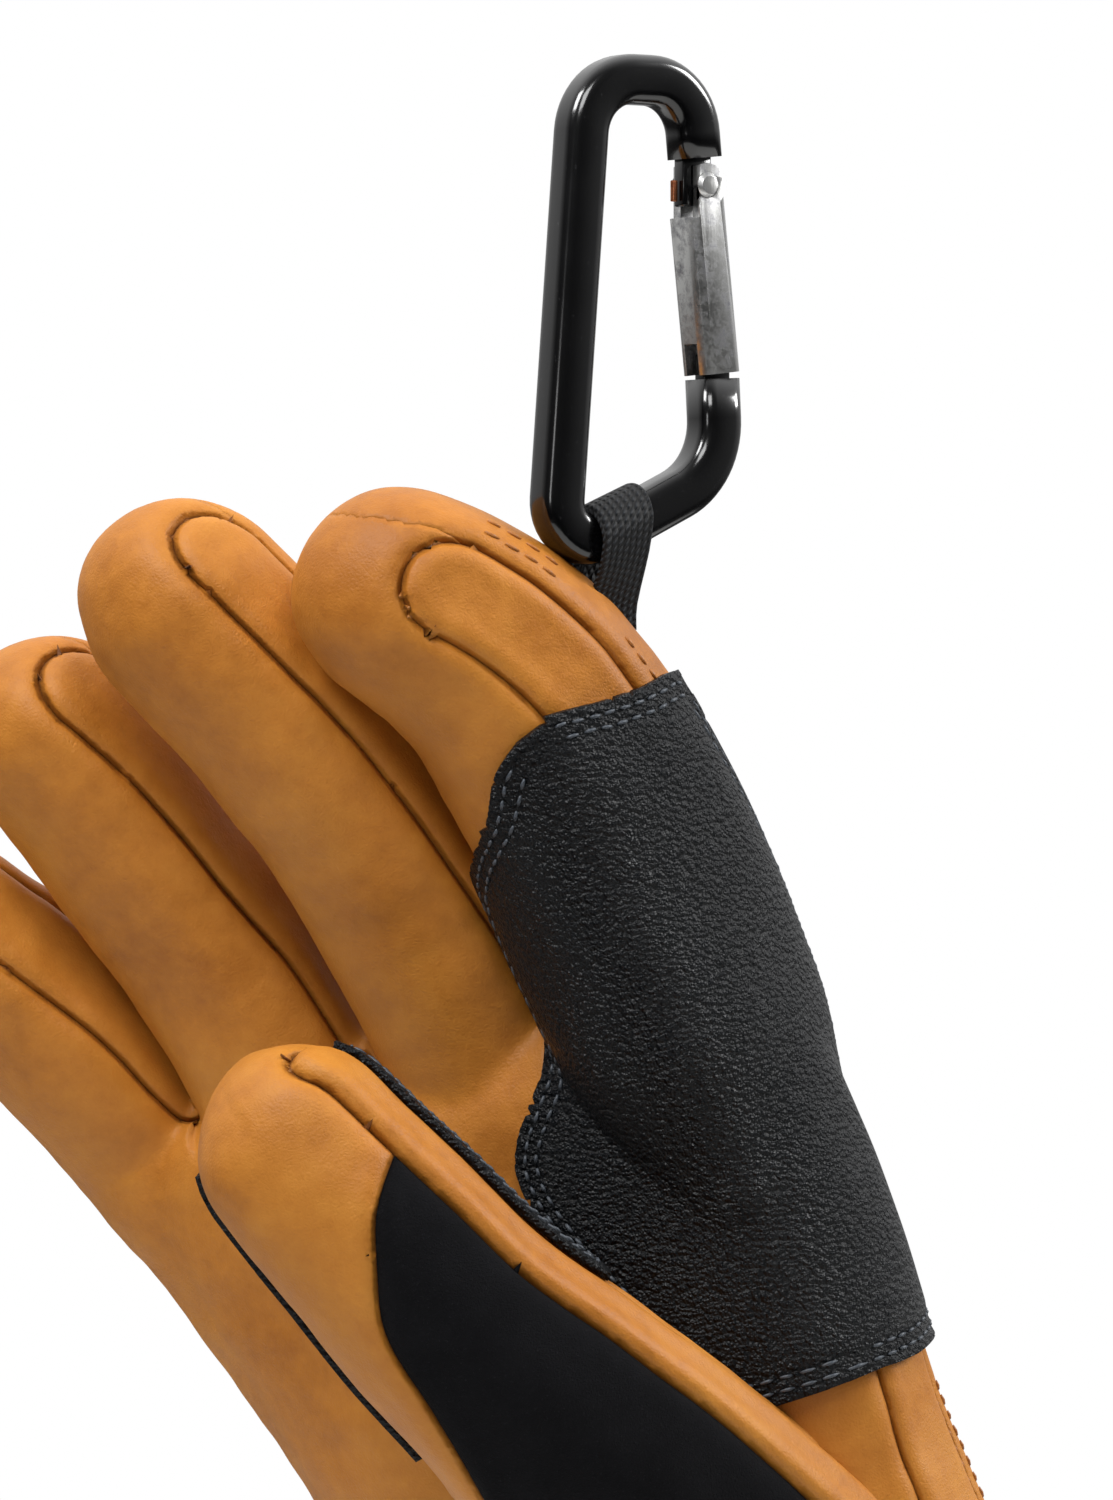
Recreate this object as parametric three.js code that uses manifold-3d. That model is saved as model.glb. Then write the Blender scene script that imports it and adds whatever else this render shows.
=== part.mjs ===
// An insulated leather snowboard glove (right hand) that hangs by the webbing loop of its index fingertip
// from a D-shaped carabiner. Millimetres, +Z up, origin inside the top bow of the carabiner, where it hangs.
//
// The glove is a hollow shell. It is first laid out flat, as a sewer would lay it: u runs across the hand
// from the index to the little finger, v along the hand from wrist to fingertips, n out of the palm.
// There the panels are cut apart, and then every point is carried along the five curled digit lines.

import * as THREE from "three";
import { mergeVertices } from "three/addons/utils/BufferGeometryUtils.js";
import Module from "manifold-3d";

const wasm = await Module();
wasm.setup();

// Driving dimensions of the glove
const WALL = 2.4;             // leather with its padding, at the seams
const SEAM_GAP = 0.9;         // between one panel and the next
const PATCH_THICK = 1.3;      // black leather laid over the shell
const PATCH_LIFT = 0.8;      // clearance between the patch and the shell under it
const RING_STEP = 18;         // length of a mesh ring along the hand
const THUMB_RING_STEP = 16;
const FINGER_SIDES = 14;
const PALM_SIDES = 22;
const TIP_TURNS = [0.35, 0.65, 0.88, 0.98]; // rings of a fingertip's dome, as shares of a quarter turn
const SIDE_STRIP = 8;         // half width of the strips between palm and back
const TIP_BAND = 13;          // the palm leather folds over each fingertip by this much
const CUFF_END = -78;         // along the hand, wrist at 0
const CUFF_SEAM = -14;
const WEB = 114;              // where the fingers part
const FINGER_PART = 112;      // the palm and back leather are parted at the finger roots
const FINGER_ROOT = 34;       // a finger starts this far inside the palm, and grows from this share of its size
const ROOT_SCALE = 0.75;
const PALM_TOP = 120;         // the palm body reaches just past the web
const SPLIT_LENGTH = 16;      // over this length the palm gives way to separate fingers
const TWIST_LENGTH = 60;      // over this length a finger turns into its own direction
const INDEX_SIDE_START = 70;  // the side panel of the index finger meets the wrist panel here
const THUMB_LENGTH = 126;

// Digit lines in the hanging pose. along: distance from the wrist along the hand, x right, y away, z up.
const LANE_COLUMNS = ["along", "x", "y", "z"];
const GLOVE_AWAY = 36;        // the lines' y are measured from this plane, so that the loop meets the index finger
const LANES = {
  index: rows(LANE_COLUMNS, [
    [-80, 79, -18, -324], [-40, 65, -20, -287], [0, 50, -22, -250], [40, 34, -23, -213], [80, 20, -25, -176],
    [114, 7, -27, -145], [137, -2.5, -31, -123], [158, -12, -36, -104], [176, -22, -41, -90],
    [194, -36, -46, -79.5], [213, -54, -50, -73.5],
  ]),
  middle: rows(LANE_COLUMNS, [
    [-80, 50, -4, -329], [-40, 36, -5, -292], [0, 21, -6, -255], [40, 5, -7, -218], [80, -9, -8, -183],
    [114, -22, -10, -153], [138, -33, -15, -131], [168, -50, -23, -105], [197, -72, -29, -81],
    [213, -85, -32, -67],
  ]),
  ring: rows(LANE_COLUMNS, [
    [-80, 22, 10, -334], [-40, 7, 10, -297], [0, -8, 10, -260], [40, -24, 10, -224], [80, -39, 9, -190],
    [114, -53, 7, -160], [136, -65, 4, -139], [155, -77, 0, -123], [174, -90, -4, -107], [197, -107, -9, -90],
  ]),
  little: rows(LANE_COLUMNS, [
    [-80, -2, 24, -339], [-40, -14, 25, -302], [0, -28, 25, -266], [40, -43, 24, -229], [80, -60, 23, -196],
    [114, -78, 22, -168], [131, -89, 17, -155], [150, -103, 13, -142], [178, -124, 6, -124],
  ]),
};
// Each finger: where its line lies across the hand, its tip along the hand, its half width and depth at the
// web and near the tip, and the direction across it (towards the little finger) in plan.
const FINGERS = rows(["name", "u", "tip", "webWide", "webDeep", "tipWide", "tipDeep", "acrossX", "acrossY"], [
  ["index", 0, 213, 18, 23.5, 16.5, 17, -0.55, 0.83],
  ["middle", 38, 213, 17, 18.5, 16.5, 16.5, -0.84, 0.54],
  ["ring", 75, 197, 16.5, 18, 15.5, 15.5, -0.86, 0.51],
  ["little", 109, 178, 14, 16.5, 13.5, 13.5, -0.86, 0.51],
]);
// The palm body: its two edges across the hand and its half thickness
const PALM = rows(["along", "radial", "ulnar", "half"], [
  [-80, -19, 122, 33], [-60, -17, 119, 32], [-40, -15, 116, 30], [-20, -13, 113, 28], [0, -12, 111, 27],
  [20, -13, 112, 28], [40, -14, 114, 28.5], [60, -16, 117, 28], [80, -17, 120, 26], [100, -17.5, 122.5, 23],
  [110, -17, 122.5, 20], [120, -14, 120, 13],
]);
const PALM_ACROSS = { x: -0.88, y: 0.47 };

// The thumb lies across the palm, nearest the viewer; along runs from its tip to inside the hand.
const THUMB_LINE = rows(LANE_COLUMNS, [
  [0, -65, -58, -154], [18, -53, -60, -167], [36, -42, -60, -179], [56, -29, -58, -193], [80, -12, -51, -209],
  [104, 5, -40, -226], [126, 21, -26, -243],
]);
// p runs across the thumb towards the index finger, q towards the viewer
const THUMB_SIZE = rows(["along", "halfP", "halfQ"], [
  [0, 14, 14], [14, 16, 17], [36, 17.5, 18], [60, 19, 19], [90, 23, 20], [126, 27, 20],
]);
const THUMB_STRIP_Q = [0, 11];        // the raised strip lies between these heights on the upper edge
const THUMB_PATCH = { from: 9, to: 69, q: -1 };

// Edge of the suede wipe on the thumb, from the upper edge across to the lower one
const WIPE_EDGE = rows(["across", "along"], [
  [60, 26], [14, 28], [6, 33], [0, 40], [-6, 48], [-10, 60], [-16, 76], [-60, 92],
]);

// The black patch wraps the index side of the hand: its outline on that side, and on the palm
const PATCH_SIDE_OUTLINE = rows(["out", "along"], [
  [-19, 50], [9, 50], [9, 171], [0, 167], [-8, 164], [-19, 161],
]);
const PATCH_PALM_OUTLINE = rows(["across", "along"], [
  [-60, 172], [-14, 172], [-9, 163], [0, 155], [8, 149], [14, 142], [15, 128], [17, 114], [30, 97], [22, 74],
  [4, 50], [-60, 50],
]);
const PATCH_CORNER = 9;       // the two outlines meet this far towards the palm

// Driving dimensions of the carabiner and the loop
const STOCK = { wide: 8, thick: 7 };       // the aluminium bar of the body
const CARABINER_TURN = Math.PI * 35 / 180; // its plane is turned about the vertical
const CARABINER_BEARING = 4;               // centre of the bar above the origin, at the top bow
// Corners of the bar's centre line, from the spine's left edge (across) and the origin (up)
const CARABINER_CORNERS = rows(["across", "up", "radius"], [
  [30.9, -58.5, 13], [-1.2, -73.5, 6], [5, CARABINER_BEARING, 9.5], [25.4, CARABINER_BEARING, 9],
]);
const SPINE_OFFSET = -15.8;  // where across is zero, measured from the origin along the turned plane
const RIVET = { across: 26.6, up: -12.6, radius: 1.3, length: 7.6 };
const NOSE = { across: 30.1, up: -43.5 };
const GATE = { wide: 7.4, thick: 7.2, slot: 3.4, topRadius: 3.6 };
const TANG = { thick: 2.7, inner: 3.2, outer: 2.4, down: 3.4 };
const TONGUE = { thick: 2.7, wide: 5.2, up: 4.0, room: 1.5 };
const GATE_CLEAR = 0.85;        // room for the gate's foot to swing past the nose
const SPRING = { radius: 0.6, length: 3.4, inset: 4.1 };
const STRAP = { wide: 9.5, thick: 1.3, across: 9.6, up: -68.4, slope: 0.42, gap: 0.6, foot: -84.5, seat: 0.35 };

// Plain helpers

function rows(columns, table) {
  return table.map((row) => Object.fromEntries(columns.map((name, i) => [name, row[i]])));
}

function interpolate(table, key, at, value) {
  // Smooth (Catmull-Rom) value of a table's column
  let i = 0;
  while (i < table.length - 2 && at > table[i + 1][key]) i++;
  const a = table[i];
  const b = table[i + 1];
  const before = table[Math.max(i - 1, 0)];
  const after = table[Math.min(i + 2, table.length - 1)];
  const span = b[key] - a[key];
  const t = (at - a[key]) / span;
  const slopeA = before === a ? (b[value] - a[value]) : (b[value] - before[value]) / (b[key] - before[key]) * span;
  const slopeB = after === b ? (b[value] - a[value]) : (after[value] - a[value]) / (after[key] - a[key]) * span;
  if (t < 0) return a[value] + slopeA * t;
  if (t > 1) return b[value] + slopeB * (t - 1);
  const t2 = t * t;
  const t3 = t2 * t;
  return (2 * t3 - 3 * t2 + 1) * a[value] + (t3 - 2 * t2 + t) * slopeA
    + (3 * t2 - 2 * t3) * b[value] + (t3 - t2) * slopeB;
}

function smooth(t) {
  const c = Math.min(Math.max(t, 0), 1);
  return c * c * (3 - 2 * c);
}

function solidOf(geometry) {
  // A closed three.js geometry as a solid that can be joined and cut
  geometry.deleteAttribute("normal");
  geometry.deleteAttribute("uv");
  const merged = mergeVertices(geometry, 1e-4);
  return new wasm.Manifold(new wasm.Mesh({
    numProp: 3,
    vertProperties: new Float32Array(merged.attributes.position.array),
    triVerts: new Uint32Array(merged.index.array),
  }));
}

function geometryOf(solid) {
  const mesh = solid.getMesh();
  const geometry = new THREE.BufferGeometry();
  geometry.setAttribute("position", new THREE.BufferAttribute(new Float32Array(mesh.vertProperties), 3));
  geometry.setIndex(new THREE.BufferAttribute(new Uint32Array(mesh.triVerts), 1));
  return geometry;
}

function moved(solid, place, mirrored = false) {
  // The same solid with every corner carried to a new place. The flat hand is a mirror image of the worn one.
  const geometry = geometryOf(solid);
  if (mirrored) geometry.index.array.reverse();
  const position = geometry.attributes.position;
  const point = new THREE.Vector3();
  for (let i = 0; i < position.count; i++) {
    place(point.fromBufferAttribute(position, i));
    position.setXYZ(i, point.x, point.y, point.z);
  }
  return solidOf(geometry);
}

function loft(sections) {
  // Closed solid through rings with equal counts of points, capped flat at both ends
  const sides = sections[0].length;
  const corners = [];
  sections.forEach((ring) => ring.forEach((p) => corners.push(p.x, p.y, p.z)));
  const faces = [];
  for (let r = 0; r + 1 < sections.length; r++) {
    for (let i = 0; i < sides; i++) {
      const a = r * sides + i;
      const b = r * sides + (i + 1) % sides;
      faces.push(a, b, b + sides, a, b + sides, a + sides);
    }
  }
  for (const [ring, turned] of [[0, true], [sections.length - 1, false]]) {
    const centre = sections[ring].reduce((sum, p) => sum.add(p), new THREE.Vector3()).divideScalar(sides);
    corners.push(centre.x, centre.y, centre.z);
    const middle = corners.length / 3 - 1;
    for (let i = 0; i < sides; i++) {
      const a = ring * sides + i;
      const b = ring * sides + (i + 1) % sides;
      faces.push(...(turned ? [middle, b, a] : [middle, a, b]));
    }
  }
  const geometry = new THREE.BufferGeometry();
  geometry.setAttribute("position", new THREE.BufferAttribute(new Float32Array(corners), 3));
  geometry.setIndex(faces);
  return solidOf(geometry);
}

function oval(centre, halfWide, halfDeep, sides, along, squareness) {
  // A rounded section across the hand: u is x, v is y, n is z
  const ring = [];
  for (let i = 0; i < sides; i++) {
    const angle = -2 * Math.PI * (i + 0.5) / sides;
    const c = Math.cos(angle);
    const s = Math.sin(angle);
    const grow = (Math.abs(c) ** squareness + Math.abs(s) ** squareness) ** (-1 / squareness);
    ring.push(new THREE.Vector3(centre + halfWide * grow * c, along, halfDeep * grow * s));
  }
  return ring;
}

function box(u0, u1, v0, v1, n0, n1) {
  const geometry = new THREE.BoxGeometry(u1 - u0, v1 - v0, n1 - n0);
  geometry.translate((u0 + u1) / 2, (v0 + v1) / 2, (n0 + n1) / 2);
  return solidOf(geometry);
}

function prism(outline, low, high) {
  // An outline across and along, raised out of the leather
  const shape = new THREE.Shape(outline.map((p) => new THREE.Vector2(p.across, p.along)));
  const geometry = new THREE.ExtrudeGeometry(shape, { depth: high - low, bevelEnabled: false });
  geometry.translate(0, 0, low);
  return solidOf(geometry);
}

// The flat hand

function fingerSolid(finger, offset) {
  const start = WEB - FINGER_ROOT;
  const dome = Math.min(finger.tipWide, finger.tipDeep);
  const length = finger.tip - dome - start;
  const straight = Math.round(length / RING_STEP);
  const stations = [];
  for (let i = 0; i <= straight; i++) {
    const along = start + length * i / straight;
    stations.push([along, ROOT_SCALE + (1 - ROOT_SCALE) * smooth((along - start) / FINGER_ROOT)]);
  }
  for (const turn of TIP_TURNS) {
    const angle = turn * Math.PI / 2;
    stations.push([start + length + (dome + offset) * Math.sin(angle), Math.cos(angle)]);
  }
  return loft(stations.map(([along, tipScale]) => {
    const t = Math.min((along - WEB) / (finger.tip - finger.tipWide - WEB), 1);
    const puff = 0.5 * Math.sin(Math.PI * Math.max(t, 0));
    const wide = finger.webWide + (finger.tipWide - finger.webWide) * t + puff + offset;
    const deep = finger.webDeep + (finger.tipDeep - finger.webDeep) * t + puff + offset;
    return oval(finger.u, wide * tipScale, deep * tipScale, FINGER_SIDES, along, 2.3);
  }));
}

function palmSolid(offset, mouth) {
  const stations = [mouth];
  const count = Math.round((PALM_TOP - CUFF_END) / RING_STEP);
  for (let i = mouth < CUFF_END ? 0 : 1; i <= count; i++) {
    stations.push(CUFF_END + (PALM_TOP - CUFF_END) * i / count);
  }
  stations[stations.length - 1] += offset;
  return loft(stations.map((along) => {
    const radial = interpolate(PALM, "along", along, "radial") - offset;
    const ulnar = interpolate(PALM, "along", along, "ulnar") + offset;
    const half = interpolate(PALM, "along", along, "half") + offset;
    return oval((radial + ulnar) / 2, (ulnar - radial) / 2, half, PALM_SIDES, along, 2.5);
  }));
}

function handSolid(offset, mouth = CUFF_END) {
  return FINGERS.reduce((solid, finger) => solid.add(fingerSolid(finger, offset)), palmSolid(offset, mouth));
}

// From the flat hand to the hanging pose

function pointOnLine(line, along) {
  return new THREE.Vector3(interpolate(line, "along", along, "x"),
    interpolate(line, "along", along, "y") + GLOVE_AWAY, interpolate(line, "along", along, "z"));
}

function laneFrame(finger, along) {
  const lane = LANES[finger.name];
  const at = (v) => pointOnLine(lane, v);
  const tangent = at(along + 1).sub(at(along - 1)).normalize();
  const turn = smooth((along - WEB + 5) / TWIST_LENGTH);
  const across = new THREE.Vector3(
    PALM_ACROSS.x + (finger.acrossX - PALM_ACROSS.x) * turn,
    PALM_ACROSS.y + (finger.acrossY - PALM_ACROSS.y) * turn, 0);
  across.addScaledVector(tangent, -across.dot(tangent)).normalize();
  const palmar = new THREE.Vector3().crossVectors(tangent, across).normalize();
  return { origin: at(along), across, palmar };
}

function onLane(finger, u, v, n) {
  const frame = laneFrame(finger, v);
  return frame.origin.addScaledVector(frame.across, u - finger.u).addScaledVector(frame.palmar, n);
}

function placeHand(point) {
  // Blends the lines of the two nearest fingers in the palm, and follows one of them past the web
  const [u, v, n] = [point.x, point.y, point.z];
  let k = 0;
  while (k < FINGERS.length - 2 && u > FINGERS[k + 1].u) k++;
  const left = FINGERS[k];
  const right = FINGERS[k + 1];
  const linear = Math.min(Math.max((u - left.u) / (right.u - left.u), 0), 1);
  const apart = smooth((v - WEB + 4) / SPLIT_LENGTH);
  const weight = linear + ((linear > 0.5 ? 1 : 0) - linear) * apart;
  const a = onLane(left, u, v, n);
  const b = onLane(right, u, v, n);
  point.copy(a.lerp(b, weight));
}

// The thumb, straight first: p across it, along from the tip, q out of it, and then along its line

function thumbSolid(offset) {
  const stations = [];
  const dome = 15;
  for (const turn of TIP_TURNS.toReversed()) {
    const angle = turn * Math.PI / 2;
    stations.push([dome - (dome + offset) * Math.sin(angle), Math.cos(angle)]);
  }
  const straight = Math.round((THUMB_LENGTH - dome) / THUMB_RING_STEP);
  for (let i = 0; i <= straight; i++) stations.push([dome + (THUMB_LENGTH - dome) * i / straight, 1]);
  return loft(stations.map(([along, tipScale]) => oval(0,
    (interpolate(THUMB_SIZE, "along", along, "halfP") + offset) * tipScale,
    (interpolate(THUMB_SIZE, "along", along, "halfQ") + offset) * tipScale,
    FINGER_SIDES, along, 2.2)));
}

function placeThumb(point) {
  const [p, along, q] = [point.x, point.y, point.z];
  const at = (v) => pointOnLine(THUMB_LINE, v);
  const tangent = at(along + 1).sub(at(along - 1)).normalize();
  const facing = new THREE.Vector3(-0.25, -1, 0);
  facing.addScaledVector(tangent, -facing.dot(tangent)).normalize();
  const across = new THREE.Vector3().crossVectors(facing, tangent).normalize();
  point.copy(at(along).addScaledVector(across, p).addScaledVector(facing, q));
}

// The carabiner and its strap are made in the carabiner's own plane: x across, y up, z out of the plane

function placeCarabiner(point) {
  const across = point.x + SPINE_OFFSET;
  const out = point.z;
  point.set(across * Math.cos(CARABINER_TURN) + out * Math.sin(CARABINER_TURN),
    across * Math.sin(CARABINER_TURN) - out * Math.cos(CARABINER_TURN), point.y);
}

function barLine() {
  // From the nose down, round the wide end, up the spine and over the top to the hinge, with round corners
  const ends = [{ across: NOSE.across, up: NOSE.up }, ...CARABINER_CORNERS,
    { across: RIVET.across, up: RIVET.up + GATE.topRadius + 0.9 }];
  const points = [new THREE.Vector3(ends[0].across, ends[0].up, 0)];
  for (let i = 1; i + 1 < ends.length; i++) {
    const corner = new THREE.Vector3(ends[i].across, ends[i].up, 0);
    const back = new THREE.Vector3(ends[i - 1].across, ends[i - 1].up, 0).sub(corner).normalize();
    const on = new THREE.Vector3(ends[i + 1].across, ends[i + 1].up, 0).sub(corner).normalize();
    const half = Math.acos(back.dot(on)) / 2;
    const reach = ends[i].radius / Math.tan(half);
    const steps = 7;
    const centre = corner.clone().addScaledVector(back.clone().add(on).normalize(), ends[i].radius / Math.sin(half));
    const from = corner.clone().addScaledVector(back, reach).sub(centre);
    const to = corner.clone().addScaledVector(on, reach).sub(centre);
    const sweep = from.angleTo(to);
    const axis = new THREE.Vector3().crossVectors(from, to).normalize();
    for (let s = 0; s <= steps; s++) {
      points.push(from.clone().applyAxisAngle(axis, sweep * s / steps).add(centre));
    }
  }
  points.push(new THREE.Vector3(ends.at(-1).across, ends.at(-1).up, 0));
  return points;
}

function barSection(wide, thick, bevel) {
  // Corners of a bar with bevelled edges, as [across, out] pairs
  const w = wide / 2;
  const t = thick / 2;
  return [[w, -t + bevel], [w, t - bevel], [w - bevel * 0.3, t - bevel * 0.3], [w - bevel, t], [-w + bevel, t],
    [-w + bevel * 0.3, t - bevel * 0.3], [-w, t - bevel], [-w, -t + bevel], [-w + bevel * 0.3, -t + bevel * 0.3],
    [-w + bevel, -t], [w - bevel, -t], [w - bevel * 0.3, -t + bevel * 0.3]];
}

function sweepBar(points, section) {
  return loft(points.map((point, i) => {
    const before = points[Math.max(i - 1, 0)];
    const after = points[Math.min(i + 1, points.length - 1)];
    const tangent = after.clone().sub(before).normalize();
    const side = new THREE.Vector3(-tangent.y, tangent.x, 0);
    return section.map(([wide, out]) => point.clone().addScaledVector(side, wide).setZ(out));
  }));
}

function cylinderAt(radius, length, x, y, sides = 16) {
  const geometry = new THREE.CylinderGeometry(radius, radius, length, sides);
  geometry.rotateX(Math.PI / 2);
  geometry.translate(x, y, 0);
  return solidOf(geometry);
}

function carabinerBody() {
  let body = sweepBar(barLine(), barSection(STOCK.wide, STOCK.thick, 2.4));
  const shoulder = RIVET.up + GATE.topRadius + 0.9;
  const tang = box(RIVET.across - TANG.inner, RIVET.across + TANG.outer, RIVET.up - TANG.down, shoulder + 1,
    -TANG.thick / 2, TANG.thick / 2);
  const tongue = box(NOSE.across - TONGUE.wide / 2, NOSE.across + TONGUE.wide / 2, NOSE.up - 1,
    NOSE.up + TONGUE.up, -TONGUE.thick / 2, TONGUE.thick / 2);
  body = body.add(tang).add(tongue);
  return body.subtract(cylinderAt(RIVET.radius + 0.3, 20, RIVET.across, RIVET.up));
}

function gateSolid() {
  const foot = NOSE.up + GATE_CLEAR;
  const lean = (NOSE.across - RIVET.across) / (RIVET.up - NOSE.up);
  const line = [RIVET.up + GATE.topRadius * 0.2, -22, -32, foot].map((up) =>
    new THREE.Vector3(RIVET.across + (RIVET.up - up) * lean, up, 0));
  let gate = sweepBar(line, barSection(GATE.wide, GATE.thick, 1.6));
  gate = gate.add(cylinderAt(GATE.topRadius, GATE.thick, RIVET.across, RIVET.up));
  // The tang stands in a slot at the top, open to the inner side, and the nose in a slot at the foot
  const slot = GATE.slot / 2;
  gate = gate.subtract(box(RIVET.across - 9, RIVET.across + 9, RIVET.up - 5.2, RIVET.up + 9, -slot, slot));
  gate = gate.subtract(box(RIVET.across - 9, RIVET.across - 1.6, RIVET.up - 5.2, RIVET.up + 9, -9, 9));
  gate = gate.subtract(box(NOSE.across - 9, NOSE.across + 9, foot - 1, NOSE.up + TONGUE.up + TONGUE.room, -slot, slot));
  return gate.subtract(cylinderAt(RIVET.radius + 0.3, 20, RIVET.across, RIVET.up));
}

function rivetSolid() {
  const half = RIVET.length / 2;
  const profile = [[0, -half - 0.5], [1.5, -half - 0.5], [2.1, -half + 0.1], [2.1, -half + 0.15],
    [RIVET.radius, -half + 0.15], [RIVET.radius, half - 0.15], [2.1, half - 0.15], [2.1, half - 0.1],
    [1.5, half + 0.5], [0, half + 0.5]].map(([radius, up]) => new THREE.Vector2(radius, up));
  const geometry = new THREE.LatheGeometry(profile, 14);
  geometry.rotateX(Math.PI / 2);
  geometry.translate(RIVET.across, RIVET.up, 0);
  return solidOf(geometry);
}

function springSolid() {
  const geometry = new THREE.CylinderGeometry(SPRING.radius, SPRING.radius, SPRING.length, 10);
  geometry.translate(RIVET.across - SPRING.inset, RIVET.up - 0.9, 0);
  return solidOf(geometry);
}

function strapSolid() {
  // The webbing goes round the bar of the wide end, and both legs meet in the fingertip seam
  const hold = new THREE.Vector2(STRAP.across, STRAP.up);
  const inside = STOCK.wide / 2 * Math.hypot(1, STRAP.slope) + STRAP.gap;
  const middle = inside + STRAP.thick / 2;
  const route = [];
  route.push([STRAP.thick / 2 + 0.2, STRAP.foot], [STRAP.thick / 2 + 0.6, STRAP.foot + 4], [middle - 1.1, hold.y - 4.5]);
  for (let i = 0; i <= 8; i++) {
    const angle = Math.PI * i / 8;
    route.push([middle * Math.cos(angle), hold.y + middle * Math.sin(angle)]);
  }
  route.push([-middle + 1.1, hold.y - 4.5], [-STRAP.thick / 2 - 0.6, STRAP.foot + 4],
    [-STRAP.thick / 2 - 0.2, STRAP.foot]);
  const points = route.map(([out, up]) => new THREE.Vector3(out, up, 0));
  const section = barSection(STRAP.thick, STRAP.wide, 0.4);
  const leg = sweepBar(points, section);
  // Made standing in x, y; its width turns to lie along the bar
  const joined = leg.add(
    box(-0.9, 0.9, STRAP.foot, STRAP.foot + 3, -STRAP.wide / 2 + 0.4, STRAP.wide / 2 - 0.4));
  // Its top lies square on the sloping bar, and its foot is level
  return moved(joined, (p) => p.set(hold.x + p.z,
    p.y + p.z * STRAP.slope * smooth((p.y - STRAP.foot) / (hold.y - STRAP.foot)), p.x), true);
}

// Panels of the hand, cut apart flat

const FAR = 400;
const g = SEAM_GAP / 2;

const flatShell = handSolid(0).subtract(handSolid(-WALL, CUFF_END - 5));

function stripCutter(u0, u1, v0, v1, grow) {
  return box(u0 - grow, u1 + grow, v0 - grow, v1 + grow, -SIDE_STRIP - grow, SIDE_STRIP + grow);
}

const between = (a, b) => (FINGERS[a].u + FINGERS[b].u) / 2;
const STRIPS = [
  ["wrist_panel", [[-60, 20, CUFF_SEAM, INDEX_SIDE_START]]],
  ["index_side_panel", [[-60, 0, INDEX_SIDE_START, FINGERS[0].tip - TIP_BAND]]],
  ["fourchette_index_middle", [
    [FINGERS[0].u, between(0, 1), 100, FINGERS[0].tip - TIP_BAND],
    [between(0, 1) - 1, FINGERS[1].u, 100, FINGERS[1].tip - TIP_BAND]]],
  ["fourchette_middle_ring", [
    [FINGERS[1].u, between(1, 2), 100, FINGERS[1].tip - TIP_BAND],
    [between(1, 2) - 1, FINGERS[2].u, 100, FINGERS[2].tip - TIP_BAND]]],
  ["fourchette_ring_little", [
    [FINGERS[2].u, between(2, 3), 100, FINGERS[2].tip - TIP_BAND],
    [between(2, 3) - 1, FINGERS[3].u, 100, FINGERS[3].tip - TIP_BAND]]],
  ["little_side_panel", [[FINGERS[3].u, 160, CUFF_SEAM, FINGERS[3].tip - TIP_BAND]]],
];

const flatPanels = {};
const glove = flatShell.subtract(box(-FAR, FAR, -FAR, CUFF_SEAM, -FAR, FAR));
flatPanels.cuff = flatShell.intersect(box(-FAR, FAR, -FAR, CUFF_SEAM - SEAM_GAP, -FAR, FAR));
let taken = null;
for (const [name, boxes] of STRIPS) {
  const exact = boxes.map((b) => stripCutter(...b, -g)).reduce((sum, b) => sum.add(b));
  const grown = boxes.map((b) => stripCutter(...b, g)).reduce((sum, b) => sum.add(b));
  flatPanels[name] = glove.intersect(exact);
  taken = taken ? taken.add(grown) : grown;
}
const faces = glove.subtract(taken);
const palmSide = faces.intersect(box(-FAR, FAR, -FAR, FAR, -SIDE_STRIP + g, FAR));
const backSide = faces.intersect(box(-FAR, FAR, -FAR, FAR, -FAR, -SIDE_STRIP - g));
const belowFingers = box(-FAR, FAR, -FAR, FINGER_PART - g, -FAR, FAR);
flatPanels.palm_panel = palmSide.intersect(belowFingers);
flatPanels.back_panel = backSide.intersect(belowFingers);
FINGERS.forEach((finger, i) => {
  const low = i === 0 ? -FAR : between(i - 1, i) + g;
  const high = i === FINGERS.length - 1 ? FAR : between(i, i + 1) - g;
  const zone = box(low, high, FINGER_PART + g, FAR, -FAR, FAR);
  flatPanels[`${finger.name}_front_panel`] = palmSide.intersect(zone);
  flatPanels[`${finger.name}_back_panel`] = backSide.intersect(zone);
});

const patchShell = handSolid(PATCH_LIFT + PATCH_THICK).subtract(handSolid(PATCH_LIFT, CUFF_END - 5));
const patchSide = moved(prism(PATCH_SIDE_OUTLINE.map((row) => ({ across: row.out, along: row.along })), -60, 4),
  (p) => p.set(p.z, p.y, p.x), true);
const patchPalm = prism(PATCH_PALM_OUTLINE, PATCH_CORNER - 0.01, FAR);
flatPanels.index_patch = patchShell.intersect(patchSide.add(patchPalm));

// Into the hanging pose, and the thumb let in

const handOuter = moved(handSolid(SEAM_GAP), placeHand, true);
const handTouch = moved(handSolid(STRAP.seat), placeHand, true);
const handClear = moved(handSolid(PATCH_LIFT - 0.05), placeHand, true);
const thumbOuter = thumbSolid(0);
const thumbInner = thumbSolid(-WALL);
const thumbInnerPlaced = moved(thumbInner, placeThumb, true);
const thumbGrown = moved(thumbSolid(SEAM_GAP), placeThumb, true);
const flatThumb = thumbOuter.subtract(thumbInner);

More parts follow.
